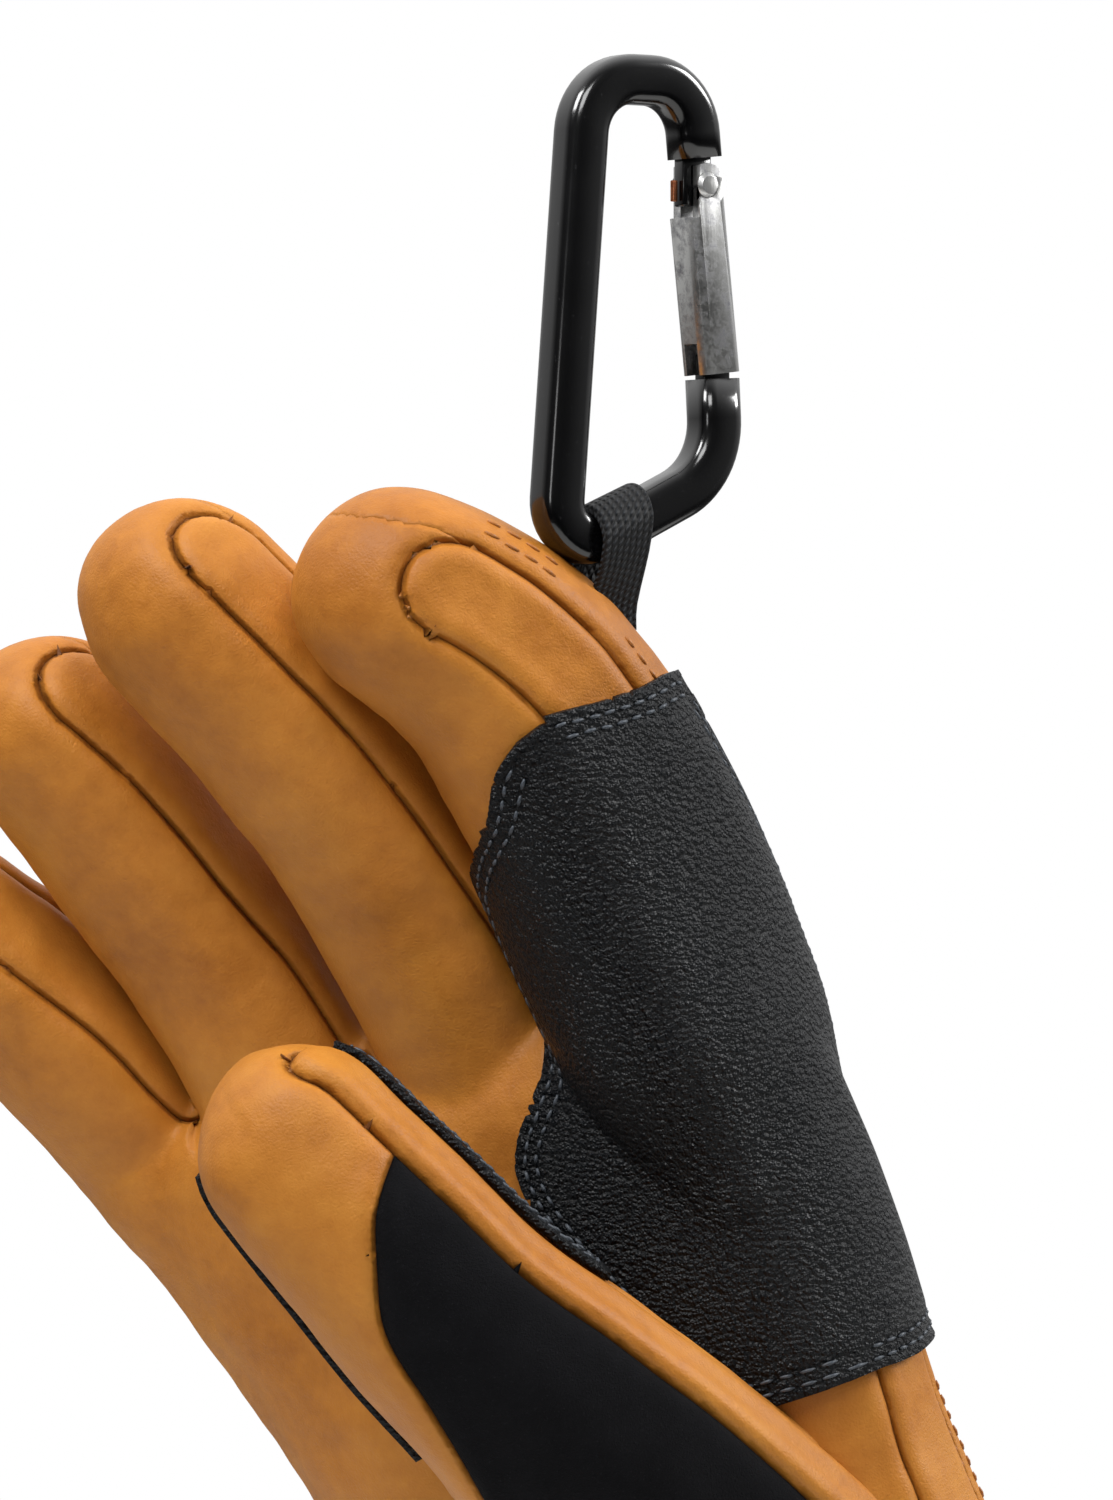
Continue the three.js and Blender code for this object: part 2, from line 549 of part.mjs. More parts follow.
// The thumb's front is a tan tip and the suede wipe, parted along the wipe's edge; its back is one tan panel
const beyond = (shift) => prism([...WIPE_EDGE.map((row) => ({ across: row.across, along: row.along + shift })),
  { across: -60, along: FAR }, { across: 60, along: FAR }], -FAR, FAR);
const THUMB_FRONT = -4;
const stripZone = (grow) => box(4, 60, 8 - grow, FAR, THUMB_STRIP_Q[0] - grow, THUMB_STRIP_Q[1] + grow);
const frontZone = box(-60, 60, -60, FAR, THUMB_FRONT + g, FAR).subtract(box(8, 60, 8 - g, FAR, -60, THUMB_STRIP_Q[1]));
const backZone = box(-60, 60, -60, FAR, -FAR, THUMB_FRONT - g)
  .add(box(8 + SEAM_GAP, 60, 8 + g, FAR, -60, THUMB_STRIP_Q[1] - SEAM_GAP));
const thumbFaces = flatThumb.subtract(stripZone(g));
const flatThumbPieces = {
  thumb_strip: flatThumb.intersect(stripZone(-g)),
  nose_wipe: thumbFaces.intersect(frontZone).intersect(beyond(g)),
  thumb_tip_panel: thumbFaces.intersect(frontZone).subtract(beyond(-g)),
  thumb_inner_panel: thumbFaces.intersect(backZone),
};
flatThumbPieces.thumb_patch = thumbSolid(PATCH_LIFT + PATCH_THICK).subtract(thumbSolid(PATCH_LIFT))
  .intersect(box(-60, 60, THUMB_PATCH.from, THUMB_PATCH.to, -FAR, THUMB_PATCH.q));

const COLOURS = {
  tan: { color: 0xba7a30, roughness: 0.55 },
  black: { color: 0x1d2126, roughness: 0.5 },
  suede: { color: 0x131314, roughness: 0.95 },
  webbing: { color: 0x15171a, roughness: 0.8 },
  gloss: { color: 0x060709, roughness: 0.12 },
  steel: { color: 0xa8a8a6, roughness: 0.3, metalness: 1 },
  copper: { color: 0xb06a48, roughness: 0.35, metalness: 1 },
};

const part = new THREE.Group();

function addPiece(name, solid, finish) {
  const mesh = new THREE.Mesh(geometryOf(solid), new THREE.MeshStandardMaterial(COLOURS[finish]));
  mesh.name = name;
  part.add(mesh);
}

function largest(solid) {
  // Slivers that a cut leaves behind are dropped
  const bodies = solid.decompose();
  return bodies.reduce((best, body) => (body.volume() > best.volume() ? body : best));
}

// The strips between the fingers, which the finger panels are trimmed to, as each is to the one before it
let besideFingers = STRIPS.filter(([name]) => name.startsWith("fourchette"))
  .map(([name]) => moved(flatPanels[name], placeHand, true)).reduce((sum, strip) => sum.add(strip));

for (const [name, flat] of Object.entries(flatPanels)) {
  let solid = moved(flat, placeHand, true);
  if (/_(front|back)_panel/.test(name)) {
    solid = largest(solid.subtract(besideFingers));
    besideFingers = besideFingers.add(solid);
  }
  if (name === "index_patch") solid = solid.subtract(thumbGrown).subtract(handClear);
  else if (name !== "cuff") solid = solid.subtract(thumbInnerPlaced);
  addPiece(name, largest(solid), name === "index_patch" ? "black" : "tan");
}
for (const [name, flat] of Object.entries(flatThumbPieces)) {
  const solid = moved(flat, placeThumb, true).subtract(handOuter);
  addPiece(name, largest(solid), { nose_wipe: "suede", thumb_patch: "black" }[name] ?? "tan");
}
addPiece("hang_loop", moved(strapSolid(), placeCarabiner).subtract(handTouch), "webbing");
addPiece("carabiner_body", moved(carabinerBody(), placeCarabiner), "gloss");
addPiece("carabiner_gate", moved(gateSolid(), placeCarabiner), "steel");
addPiece("gate_rivet", moved(rivetSolid(), placeCarabiner), "steel");
addPiece("gate_spring", moved(springSolid(), placeCarabiner), "copper");

export default part;
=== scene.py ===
import math
import bmesh
import bpy
import numpy as np
from mathutils import Matrix, Vector, kdtree, noise


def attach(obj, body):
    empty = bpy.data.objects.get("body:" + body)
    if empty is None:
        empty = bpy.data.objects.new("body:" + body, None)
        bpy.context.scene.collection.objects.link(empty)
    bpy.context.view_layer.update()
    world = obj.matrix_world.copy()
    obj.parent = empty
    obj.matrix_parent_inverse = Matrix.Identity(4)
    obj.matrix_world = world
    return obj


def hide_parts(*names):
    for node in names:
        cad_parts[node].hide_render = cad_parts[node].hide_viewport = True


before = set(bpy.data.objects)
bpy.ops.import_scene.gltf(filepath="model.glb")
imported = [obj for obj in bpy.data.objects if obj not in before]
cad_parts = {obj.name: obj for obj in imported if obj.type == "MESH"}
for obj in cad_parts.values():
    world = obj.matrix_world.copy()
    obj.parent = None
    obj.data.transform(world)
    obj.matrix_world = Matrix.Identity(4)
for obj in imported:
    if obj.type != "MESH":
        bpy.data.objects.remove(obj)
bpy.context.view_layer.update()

# Camera
# A long lens looks level at the palm. One photo pixel is 0.16 mm on the plane of the carabiner,
# and the carabiner's bearing point lies at pixel (640, 105) of the 1113 x 1500 frame.
PIXEL = 0.00016
FRAME_WIDE, FRAME_HIGH = 1113, 1500
BEARING_PIXEL = (640, 105)
CAMERA_DISTANCE = 1.4
SENSOR = 36.0

camera_data = bpy.data.cameras.new("camera")
camera_data.sensor_width = SENSOR
camera_data.lens = SENSOR * CAMERA_DISTANCE / (FRAME_HIGH * PIXEL)
camera_data.clip_end = 20
camera = bpy.data.objects.new("camera", camera_data)
camera.location = ((FRAME_WIDE / 2 - BEARING_PIXEL[0]) * PIXEL, -CAMERA_DISTANCE,
                   -(FRAME_HIGH / 2 - BEARING_PIXEL[1]) * PIXEL)
camera.rotation_euler = (math.pi / 2, 0, 0)
bpy.context.collection.objects.link(camera)
bpy.context.scene.camera = camera
bpy.context.scene.view_settings.view_transform = "Standard"

# Floor and studio light
# A pale floor well below the hanging glove, in a white studio that is dark behind the camera, so that the
# gloss black bar mirrors little. Four soft lamps: the key in front above, one on the left, a weak one beside
# the camera that draws the bar's highlight, and one on the right that lights the far edge.
FLOOR_DOWN = 0.42
FLOOR_RADIUS = 0.6
SKY_ABOVE, SKY_BELOW = 1.5, 0.06
SKY_HIGH, SKY_LOW = 0.9, -0.3   # the heights of a direction between which the sky brightens
HALL_DARK = 0.12
HALL_BACK, HALL_FRONT = 0.2, -0.45
BACKDROP = 1.0
LAMPS = [  # name, place, aimed at, size, watts
    ("key_lamp", (0.05, -0.5, 0.35), (-0.05, 0.02, -0.09), 0.25, 1.7),
    ("left_lamp", (-0.35, -0.32, 0.42), (-0.08, 0.02, -0.1), 0.25, 4.0),
    ("strip_lamp", (-0.42, -1.1, 0.0), (0.0, 0.0, -0.05), 0.2, 0.6),
    ("edge_lamp", (0.8, 0.1, 0.35), (0.0, 0.02, -0.12), 0.3, 6.0),
]


def srgb(code, alpha=1.0):
    channels = [int(code[i:i + 2], 16) / 255 for i in (1, 3, 5)]
    linear = [c / 12.92 if c <= 0.04045 else ((c + 0.055) / 1.055) ** 2.4 for c in channels]
    return (*linear, alpha)


def add_node(tree, kind, inputs=None, links=None, **settings):
    """One node with its settings, its sockets' values, and its links from other nodes, which come from their
    first output unless an output is given."""
    made = tree.nodes.new("ShaderNode" + kind)
    for name, value in settings.items():
        setattr(made, name, value)
    for socket, value in (inputs or {}).items():
        made.inputs[socket].default_value = value
    for socket, source in (links or {}).items():
        tree.links.new(getattr(source, "outputs", [source])[0], made.inputs[socket])
    return made


def new_material(name):
    material = bpy.data.materials.new(name)
    material.use_nodes = True
    material.node_tree.nodes.clear()
    place = add_node(material.node_tree, "TexCoord").outputs["Object"]
    return material, material.node_tree, place


def finish_material(tree, shader_inputs, shader_links):
    shader = add_node(tree, "BsdfPrincipled", shader_inputs, shader_links)
    add_node(tree, "OutputMaterial", links={"Surface": shader})


def cells(size):
    """The scale of a pattern on Object coordinates whose cells are this many mm across."""
    return 1000 / size


def net_of(mesh):
    bm = bmesh.new()
    bm.from_mesh(mesh)
    return bm


def new_mesh(name, bm):
    mesh = bpy.data.meshes.new(name)
    bm.to_mesh(mesh)
    bm.free()
    return mesh


def new_object(name, mesh):
    made = bpy.data.objects.new(name, mesh)
    bpy.context.collection.objects.link(made)
    return made


floor_material, tree, _ = new_material("matt_floor_paint")
speckle = add_node(tree, "TexNoise", {"Scale": cells(25)})
tone = add_node(tree, "MixRGB", {"Color1": srgb("#CFCFCD"), "Color2": srgb("#D8D8D6")}, {"Fac": speckle})
finish_material(tree, {"Roughness": 0.9}, {"Base Color": tone})
bm = bmesh.new()
bmesh.ops.create_circle(bm, cap_ends=True, radius=FLOOR_RADIUS, segments=64)
bmesh.ops.translate(bm, verts=bm.verts, vec=(0, 0, -FLOOR_DOWN))
floor_mesh = new_mesh("floor", bm)
floor_mesh.materials.append(floor_material)
floor = new_object("floor", floor_mesh)

world = bpy.data.worlds.new("studio")
world.use_nodes = True
tree = world.node_tree
tree.nodes.clear()
ray = add_node(tree, "LightPath")
facing = add_node(tree, "TexCoord").outputs["Generated"]
direction = add_node(tree, "SeparateXYZ", links={0: facing})
sky = add_node(tree, "MapRange",
               {"From Min": SKY_LOW, "From Max": SKY_HIGH, "To Min": SKY_BELOW, "To Max": SKY_ABOVE},
               {"Value": direction.outputs["Z"]})
hall = add_node(tree, "MapRange",
                {"From Min": HALL_FRONT, "From Max": HALL_BACK, "To Min": HALL_DARK, "To Max": 1.0},
                {"Value": direction.outputs["Y"]})
soft = add_node(tree, "Math", links={0: sky, 1: hall}, operation="MULTIPLY")
strength = add_node(tree, "Mix", {"B": BACKDROP}, {"Factor": ray.outputs["Is Camera Ray"], "A": soft})
studio = add_node(tree, "Background", {"Color": (1, 1, 1, 1)}, {"Strength": strength})
add_node(tree, "OutputWorld", links={"Surface": studio})
bpy.context.scene.world = world
for name, place, aim, size, watts in LAMPS:
    lamp_data = bpy.data.lights.new(name, "AREA")
    lamp_data.size = size
    lamp_data.energy = watts
    lamp = bpy.data.objects.new(name, lamp_data)
    lamp.location = place
    lamp.rotation_euler = (Vector(aim) - Vector(place)).to_track_quat("-Z", "Y").to_euler()
    bpy.context.collection.objects.link(lamp)

# Hand
# The palm, back, fourchettes, side strips, wrist panel and cuff are tan goat leather cut from one hide, sewn
# edge to edge inside out and turned. The hand is shaped flat, in mm: u runs across it from the index finger,
# v from wrist to fingertips, n out of the palm. Each digit then follows its own curled line.
WEB = 114
PALM_TOP = 120
CUFF_END = -78
CUFF_SEAM = -14
SIDE_STRIP = 8   # half the width of the strips between palm and back
SPLIT_LENGTH = 16
TWIST_LENGTH = 60
FINGER_ROOT = 34
ROOT_SCALE = 0.75
GLOVE_AWAY = 36
PALM_ACROSS = (-0.88, 0.47)
MM = 0.001


def table(columns, rows):
    return {name: np.array([row[i] for row in rows], float) for i, name in enumerate(columns)}


LINE_COLUMNS = ("along", "x", "y", "z")
LANES = {
    "index": table(LINE_COLUMNS, [
        (-80, 79, -18, -324), (-40, 65, -20, -287), (0, 50, -22, -250), (40, 34, -23, -213),
        (80, 20, -25, -176),
        (114, 7, -27, -145), (137, -2.5, -31, -123), (158, -12, -36, -104), (176, -22, -41, -90),
        (194, -36, -46, -79.5), (213, -54, -50, -73.5)]),
    "middle": table(LINE_COLUMNS, [
        (-80, 50, -4, -329), (-40, 36, -5, -292), (0, 21, -6, -255), (40, 5, -7, -218), (80, -9, -8, -183),
        (114, -22, -10, -153), (138, -33, -15, -131), (168, -50, -23, -105), (197, -72, -29, -81),
        (213, -85, -32, -67)]),
    "ring": table(LINE_COLUMNS, [
        (-80, 22, 10, -334), (-40, 7, 10, -297), (0, -8, 10, -260), (40, -24, 10, -224), (80, -39, 9, -190),
        (114, -53, 7, -160), (136, -65, 4, -139), (155, -77, 0, -123), (174, -90, -4, -107),
        (197, -107, -9, -90)]),
    "little": table(LINE_COLUMNS, [
        (-80, -2, 24, -339), (-40, -14, 25, -302), (0, -28, 25, -266), (40, -43, 24, -229),
        (80, -60, 23, -196),
        (114, -78, 22, -168), (131, -89, 17, -155), (150, -103, 13, -142), (178, -124, 6, -124)]),
}
FINGERS = [  # name, u, tip, half width and depth at the web, and at the tip, direction across in plan
    ("index", 0, 213, 18, 23.5, 16.5, 17, -0.55, 0.83),
    ("middle", 38, 213, 17, 18.5, 16.5, 16.5, -0.84, 0.54),
    ("ring", 75, 197, 16.5, 18, 15.5, 15.5, -0.86, 0.51),
    ("little", 109, 178, 14, 16.5, 13.5, 13.5, -0.86, 0.51),
]
PALM = table(("along", "radial", "ulnar", "half"), [
    (-80, -19, 122, 33), (-60, -17, 119, 32), (-40, -15, 116, 30), (-20, -13, 113, 28), (0, -12, 111, 27),
    (20, -13, 112, 28), (40, -14, 114, 28.5), (60, -16, 117, 28), (80, -17, 120, 26), (100, -17.5, 122.5, 23),
    (110, -17, 122.5, 20), (120, -14, 120, 13)])


def curve_value(line, value, at, key="along"):
    """The smooth (Catmull-Rom) value of a table's column at one or many places."""
    x, y = line[key], line[value]
    at = np.asarray(at, float)
    i = np.clip(np.searchsorted(x, at, side="left") - 1, 0, len(x) - 2)
    before, after = np.maximum(i - 1, 0), np.minimum(i + 2, len(x) - 1)
    span = x[i + 1] - x[i]
    t = (at - x[i]) / span
    step = y[i + 1] - y[i]
    first = np.where(i == 0, step, (y[i + 1] - y[before]) / (x[i + 1] - x[before]) * span)
    last = np.where(i == len(x) - 2, step, (y[after] - y[i]) / (x[after] - x[i]) * span)
    t2, t3 = t * t, t * t * t
    inside = ((2 * t3 - 3 * t2 + 1) * y[i] + (t3 - 2 * t2 + t) * first
              + (3 * t2 - 2 * t3) * y[i + 1] + (t3 - t2) * last)
    return np.where(t < 0, y[i] + first * t, np.where(t > 1, y[i + 1] + last * (t - 1), inside))


def smooth(t):
    t = np.clip(t, 0, 1)
    return t * t * (3 - 2 * t)


def unit(vectors):
    return vectors / np.linalg.norm(vectors, axis=-1, keepdims=True)


def line_point(line, along):
    return np.stack([curve_value(line, "x", along), curve_value(line, "y", along) + GLOVE_AWAY,
                     curve_value(line, "z", along)], axis=-1)


def line_tangent(line, along):
    return unit(line_point(line, along + 1) - line_point(line, along - 1))


def on_lane(finger, u, v, n):
    name, lane_u, _, _, _, _, _, across_x, across_y = finger
    tangent = line_tangent(LANES[name], v)
    turn = smooth((v - WEB + 5) / TWIST_LENGTH)
    across = np.stack([PALM_ACROSS[0] + (across_x - PALM_ACROSS[0]) * turn,
                       PALM_ACROSS[1] + (across_y - PALM_ACROSS[1]) * turn, 0 * turn], axis=-1)
    across = unit(across - tangent * (across * tangent).sum(-1, keepdims=True))
    palmar = unit(np.cross(tangent, across))
    return line_point(LANES[name], v) + across * (u - lane_u)[:, None] + palmar * n[:, None]


def place_hand(points):
    """From the flat hand, in mm, to the hanging pose, in metres."""
    u, v, n = points[:, 0], points[:, 1], points[:, 2]
    lanes_u = np.array([finger[1] for finger in FINGERS], float)
    k = np.clip(np.searchsorted(lanes_u, u, side="left") - 1, 0, len(FINGERS) - 2)
    linear = np.clip((u - lanes_u[k]) / (lanes_u[k + 1] - lanes_u[k]), 0, 1)
    apart = smooth((v - WEB + 4) / SPLIT_LENGTH)
    weight = linear + ((linear > 0.5) - linear) * apart
    places = np.array([on_lane(finger, u, v, n) for finger in FINGERS])
    rows = np.arange(len(points))
    return (places[k, rows] * (1 - weight)[:, None] + places[k + 1, rows] * weight[:, None]) * MM


def coords(mesh):
    flat = np.empty(len(mesh.vertices) * 3)
    mesh.vertices.foreach_get("co", flat)
    return flat.reshape(-1, 3)


def normals(mesh):
    flat = np.empty(len(mesh.vertices) * 3)
    mesh.vertices.foreach_get("normal", flat)
    return flat.reshape(-1, 3)


def set_coords(mesh, points):
    mesh.vertices.foreach_set("co", points.astype(np.float32).ravel())
    mesh.update()


def add_attribute(mesh, name, values):
    layer = mesh.attributes.new(name, "FLOAT", "POINT")
    layer.data.foreach_set("value", values.astype(np.float32))


def add_tube(bm, section, turns=40, rings=72):
    """A closed round body: a sphere whose rings are carried to the body's sections."""
    made = bmesh.ops.create_uvsphere(bm, u_segments=turns, v_segments=rings, radius=1)["verts"]
    for vert in made:
        share = math.acos(max(-1, min(1, -vert.co.z))) / math.pi
        vert.co = section(share, math.atan2(vert.co.y, vert.co.x))


def oval_point(centre, half_wide, half_deep, angle, along, squareness):
    c, s = math.cos(angle), math.sin(angle)
    grow = (abs(c) ** squareness + abs(s) ** squareness) ** (-1 / squareness)
    return Vector((centre + half_wide * grow * c, along, half_deep * grow * s))


def dome_scale(distance, radius):
    """How much a round end narrows a section at this distance from the very end."""
    inside = min(max(distance / radius, 0), 1)
    return math.sqrt(max(1 - (1 - inside) ** 2, 0))


def finger_section(finger):
    name, u, tip, web_wide, web_deep, tip_wide, tip_deep, _, _ = finger
    start = WEB - FINGER_ROOT

    def section(share, angle):
        along = start + (tip - start) * (1 - math.cos(share * math.pi)) / 2
        t = min((along - WEB) / (tip - tip_wide - WEB), 1)
        puff = 0.5 * math.sin(math.pi * max(t, 0))
        root = ROOT_SCALE + (1 - ROOT_SCALE) * float(smooth((along - start) / FINGER_ROOT))
        end = dome_scale(tip - along, min(tip_wide, tip_deep)) * dome_scale(along - start, 2) * root
        return oval_point(u, (web_wide + (tip_wide - web_wide) * t + puff) * end,
                          (web_deep + (tip_deep - web_deep) * t + puff) * end, -angle, along, 2.3)

    return section


def palm_section(share, angle):
    start = CUFF_END - 12
    along = start + (PALM_TOP - start) * (1 - math.cos(share * math.pi)) / 2
    radial = float(curve_value(PALM, "radial", along))
    ulnar = float(curve_value(PALM, "ulnar", along))
    half = float(curve_value(PALM, "half", along))
    end = dome_scale(PALM_TOP - along, 4) * dome_scale(along - start, 2)
    return oval_point((radial + ulnar) / 2, (ulnar - radial) / 2 * end, half * end, -angle, along, 2.5)


def even_skin(bm, voxel, name, passes):
    """The joined outer skin of overlapping bodies as an even net, smoothed a few times."""
    bmesh.ops.recalc_face_normals(bm, faces=bm.faces)
    holder = new_object(name, new_mesh(name, bm))
    modifier = holder.modifiers.new("skin", "REMESH")
    modifier.mode = "VOXEL"
    modifier.voxel_size = voxel
    evaluated = holder.evaluated_get(bpy.context.evaluated_depsgraph_get())
    skin = bpy.data.meshes.new_from_object(evaluated)
    bpy.data.objects.remove(holder)
    net = net_of(skin)
    axes = {"use_axis_x": True, "use_axis_y": True, "use_axis_z": True}
    for _ in range(passes):
        bmesh.ops.smooth_vert(net, verts=net.verts, factor=0.5, **axes)
    return skin, net


def cut_net(net, spot, facing, geometry=None, near=0.3):
    """Cuts a seam through the net; points that lie near the plane move onto it."""
    geometry = geometry or [*net.verts, *net.edges, *net.faces]
    bmesh.ops.bisect_plane(net, geom=geometry, dist=near, plane_co=spot, plane_no=facing)


VOXEL = 1.1
bm = bmesh.new()
for finger in FINGERS:
    add_tube(bm, finger_section(finger))
add_tube(bm, palm_section, turns=72, rings=90)
skin, net = even_skin(bm, VOXEL, "hand_skin", 5)
bmesh.ops.bisect_plane(net, geom=[*net.verts, *net.edges, *net.faces], dist=0.001, plane_co=(0, CUFF_END, 0),
                       plane_no=(0, -1, 0), clear_outer=True)
cut_net(net, (0, 0, SIDE_STRIP), (0, 0, 1))
cut_net(net, (0, 0, -SIDE_STRIP), (0, 0, 1))
cut_net(net, (0, CUFF_SEAM, 0), (0, 1, 0))
net.to_mesh(skin)
net.free()

# Turned seams are a fine crease between two soft rolls. The side strips end in a round tip before each
# fingertip, and near those tips the net is drawn further to the seam.
STRIP_TIPS = table(("back", "arc_from"), [(13, 174), (5, 189), (5, 174), (5, 154)])   # a row for each finger
CREASE_DEEP, CREASE_WIDE = 0.75, 0.65
ROLL_HIGH, ROLL_OFF, ROLL_WIDE = 0.45, 2.6, 1.9
SEAM_REACH = 0.31
ARC_REACH = 0.47 * VOXEL
SLIVER = 0.3
SOFT_FOLDS = [(30, 1.1, 1, (1, 0.6, 1)), (11, 0.35, 2, (1, 1, 1))]   # size, height, seed, stretch
FLEX_FOLDS = [(5, 0.22, 3, (0.25, 1, 0.25))]
LANES_U = np.array([finger[1] for finger in FINGERS], float)
TIPS_V = np.array([finger[2] for finger in FINGERS], float)


def finger_beside(points):
    """The number of the finger whose lane each point lies on."""
    return np.searchsorted((LANES_U[1:] + LANES_U[:-1]) / 2, points[:, 0])


def strip_distance(points):
    """Signed distance to the edge of the side strips, negative inside them."""
    ends = (TIPS_V - STRIP_TIPS["back"] - SIDE_STRIP)[finger_beside(points)]
    past = np.maximum(points[:, 1] - ends, 0)
    return np.hypot(points[:, 2], past) - SIDE_STRIP


def crease_profile(distance):
    rolls = np.exp(-((np.abs(distance) - ROLL_OFF) / ROLL_WIDE) ** 2)
    return ROLL_HIGH * rolls - CREASE_DEEP * np.exp(-(distance / CREASE_WIDE) ** 2)


def folds(points, waves):
    """The height of uneven folds, a sum of noise waves."""
    total = 0.0
    for size, height, seed, stretch in waves:
        shift = Vector((seed * 7.3, seed * 3.1, seed * 5.7))
        stretched = points * stretch
        total = total + np.array([noise.noise(Vector(point) / size + shift) for point in stretched]) * height
    return total


def drawn_to_line(points, point_normals, distance_of, reach):
    """Slides the points near a seam along the skin onto it, so that the cut between two pieces is clean."""
    result, step = points.copy(), 0.05
    for _ in range(2):
        distance = distance_of(result)
        slope = np.stack([distance_of(result + step * axis) - distance for axis in np.eye(3)], axis=-1) / step
        slope -= point_normals * (slope * point_normals).sum(-1, keepdims=True)
        size = np.maximum((slope ** 2).sum(-1), 0.3)
        near = np.abs(distance) < reach
        result[near] -= (slope / size[:, None] * distance[:, None])[near]
    return result


flat, flat_normals = coords(skin), normals(skin)
arcs = flat[:, 1] > STRIP_TIPS["arc_from"][finger_beside(flat)]
flat = drawn_to_line(flat, flat_normals, strip_distance, np.where(arcs, ARC_REACH, SEAM_REACH))
flat = drawn_to_line(flat, flat_normals, lambda points: points[:, 1] - CUFF_SEAM, SEAM_REACH)
# Points that now lie close together would leave slivers along the seam
set_coords(skin, flat)
net = net_of(skin)
bmesh.ops.remove_doubles(net, verts=net.verts, dist=SLIVER)
net.to_mesh(skin)
net.free()
flat, flat_normals = coords(skin), normals(skin)
strip = strip_distance(flat)
cuff_distance = flat[:, 1] - CUFF_SEAM
hand_seam = np.where(np.abs(strip) < np.abs(cuff_distance), strip, cuff_distance)
soft_folds = folds(flat, SOFT_FOLDS)
hand_offset = crease_profile(hand_seam) + soft_folds + folds(flat, FLEX_FOLDS)
hand_points = flat + flat_normals * hand_offset[:, None]
set_coords(skin, hand_points)
add_attribute(skin, "seam", hand_seam)

# Full-grain goat leather, drum dyed and lightly oiled: a warm caramel in soft clouds, darkened by painted
# shade along the seam creases, with a fine pore grain and a soft, broad shine.
# The last colour is painted shade for the seam creases, not a dye
TAN_LIGHT, TAN_MIDDLE, TAN_DARK, TAN_PAINTED_SEAM_SHADE = "#C88431", "#BB7628", "#A5631D", "#7A4616"


def tan_leather():
    material, tree, place = new_material("drum_dyed_tan_goat_leather")
    clouds = add_node(tree, "TexNoise", {"Scale": cells(35.7), "Detail": 4.0, "Roughness": 0.55},
                      {"Vector": place})
    mottle = add_node(tree, "TexNoise", {"Scale": cells(3.85), "Detail": 5.0, "Roughness": 0.65},
                      {"Vector": place})
    mixed = add_node(tree, "MixRGB", {"Fac": 0.35}, {"Color1": clouds, "Color2": mottle})
    tint = add_node(tree, "ValToRGB", links={"Fac": mixed})
    ramp = tint.color_ramp
    ramp.elements[0].position, ramp.elements[0].color = 0.34, srgb(TAN_DARK)
    ramp.elements[1].position, ramp.elements[1].color = 0.66, srgb(TAN_LIGHT)
    ramp.elements.new(0.5).color = srgb(TAN_MIDDLE)
    seam = add_node(tree, "Attribute", attribute_name="seam")
    away = add_node(tree, "Math", links={0: seam.outputs["Fac"]}, operation="ABSOLUTE")
    # Painted shade: within 0.3 mm of a seam the colour turns to the dark crease colour, standing in for shade
    # in the crease
    painted_seam_shade = add_node(tree, "MapRange", {"From Max": 0.3}, {"Value": away})
    colour = add_node(tree, "MixRGB", {"Color1": srgb(TAN_PAINTED_SEAM_SHADE)}, {"Fac": painted_seam_shade, "Color2": tint})
    # The grain is drawn at 0.71 mm, about twice the real one, so that it shows
    grain = add_node(tree, "TexVoronoi", {"Scale": cells(0.714), "Randomness": 1.0}, {"Vector": place},
                     feature="DISTANCE_TO_EDGE")
    pores = add_node(tree, "TexNoise", {"Scale": cells(0.3125), "Detail": 2.0}, {"Vector": place})
    wrinkle = add_node(tree, "TexNoise", {"Scale": cells(2.38), "Detail": 6.0, "Roughness": 0.7},
                       {"Vector": place})
    bump_fine = add_node(tree, "Bump", {"Strength": 0.4, "Distance": 0.0002}, {"Height": grain})
    bump_pores = add_node(tree, "Bump", {"Strength": 0.4, "Distance": 0.0001},
                          {"Height": pores, "Normal": bump_fine})
    bump = add_node(tree, "Bump", {"Strength": 0.3, "Distance": 0.0006},
                    {"Height": wrinkle, "Normal": bump_pores})
    # The stitched edge dips into the seam more steeply than the net of the hide can follow
    dip = add_node(tree, "MapRange", {"From Max": 0.9}, {"Value": away}, interpolation_type="SMOOTHERSTEP")
    bump = add_node(tree, "Bump", {"Strength": 1.0, "Distance": 0.0004}, {"Height": dip, "Normal": bump})
    shine = add_node(tree, "MapRange", {"To Min": 0.42, "To Max": 0.6}, {"Value": mottle})
    finish_material(tree, {"Specular IOR Level": 0.3},
                    {"Base Color": colour, "Roughness": shine,
                     "Normal": bump})
    return material


tan = tan_leather()
LEATHER = 2.0
INDEX_SIDE_START = 70
WRIST_SIDE = 20   # the wrist panel lies below this u
FOLD_OVER = 20    # how far the palm leather runs over each fingertip
FOURCHETTE_START = 90


def panel_of(points):
    """The panel that each point of the flat hand belongs to."""
    names = np.where(points[:, 2] > 0, "palm_leather", "back_leather").astype(object)
    inside = strip_distance(points) < 0
    past_tip = points[:, 1] > TIPS_V[finger_beside(points)] - FOLD_OVER
    names[(points[:, 2] > -SIDE_STRIP) & past_tip & ~inside] = "palm_leather"
    for i, name in enumerate(("index_middle_strip", "middle_ring_strip", "ring_little_strip")):
        between = (points[:, 0] > LANES_U[i]) & (points[:, 0] < LANES_U[i + 1])
        names[inside & between & (points[:, 1] > FOURCHETTE_START)] = name
    names[inside & (points[:, 0] < LANES_U[0]) & (points[:, 1] > INDEX_SIDE_START)] = "index_side_leather"
    names[inside & (points[:, 0] < WRIST_SIDE) & (points[:, 1] <= INDEX_SIDE_START)] = "wrist_leather"
    names[inside & (points[:, 0] > LANES_U[3])] = "little_side_leather"
    names[points[:, 1] < CUFF_SEAM] = "cuff_leather"
    return names


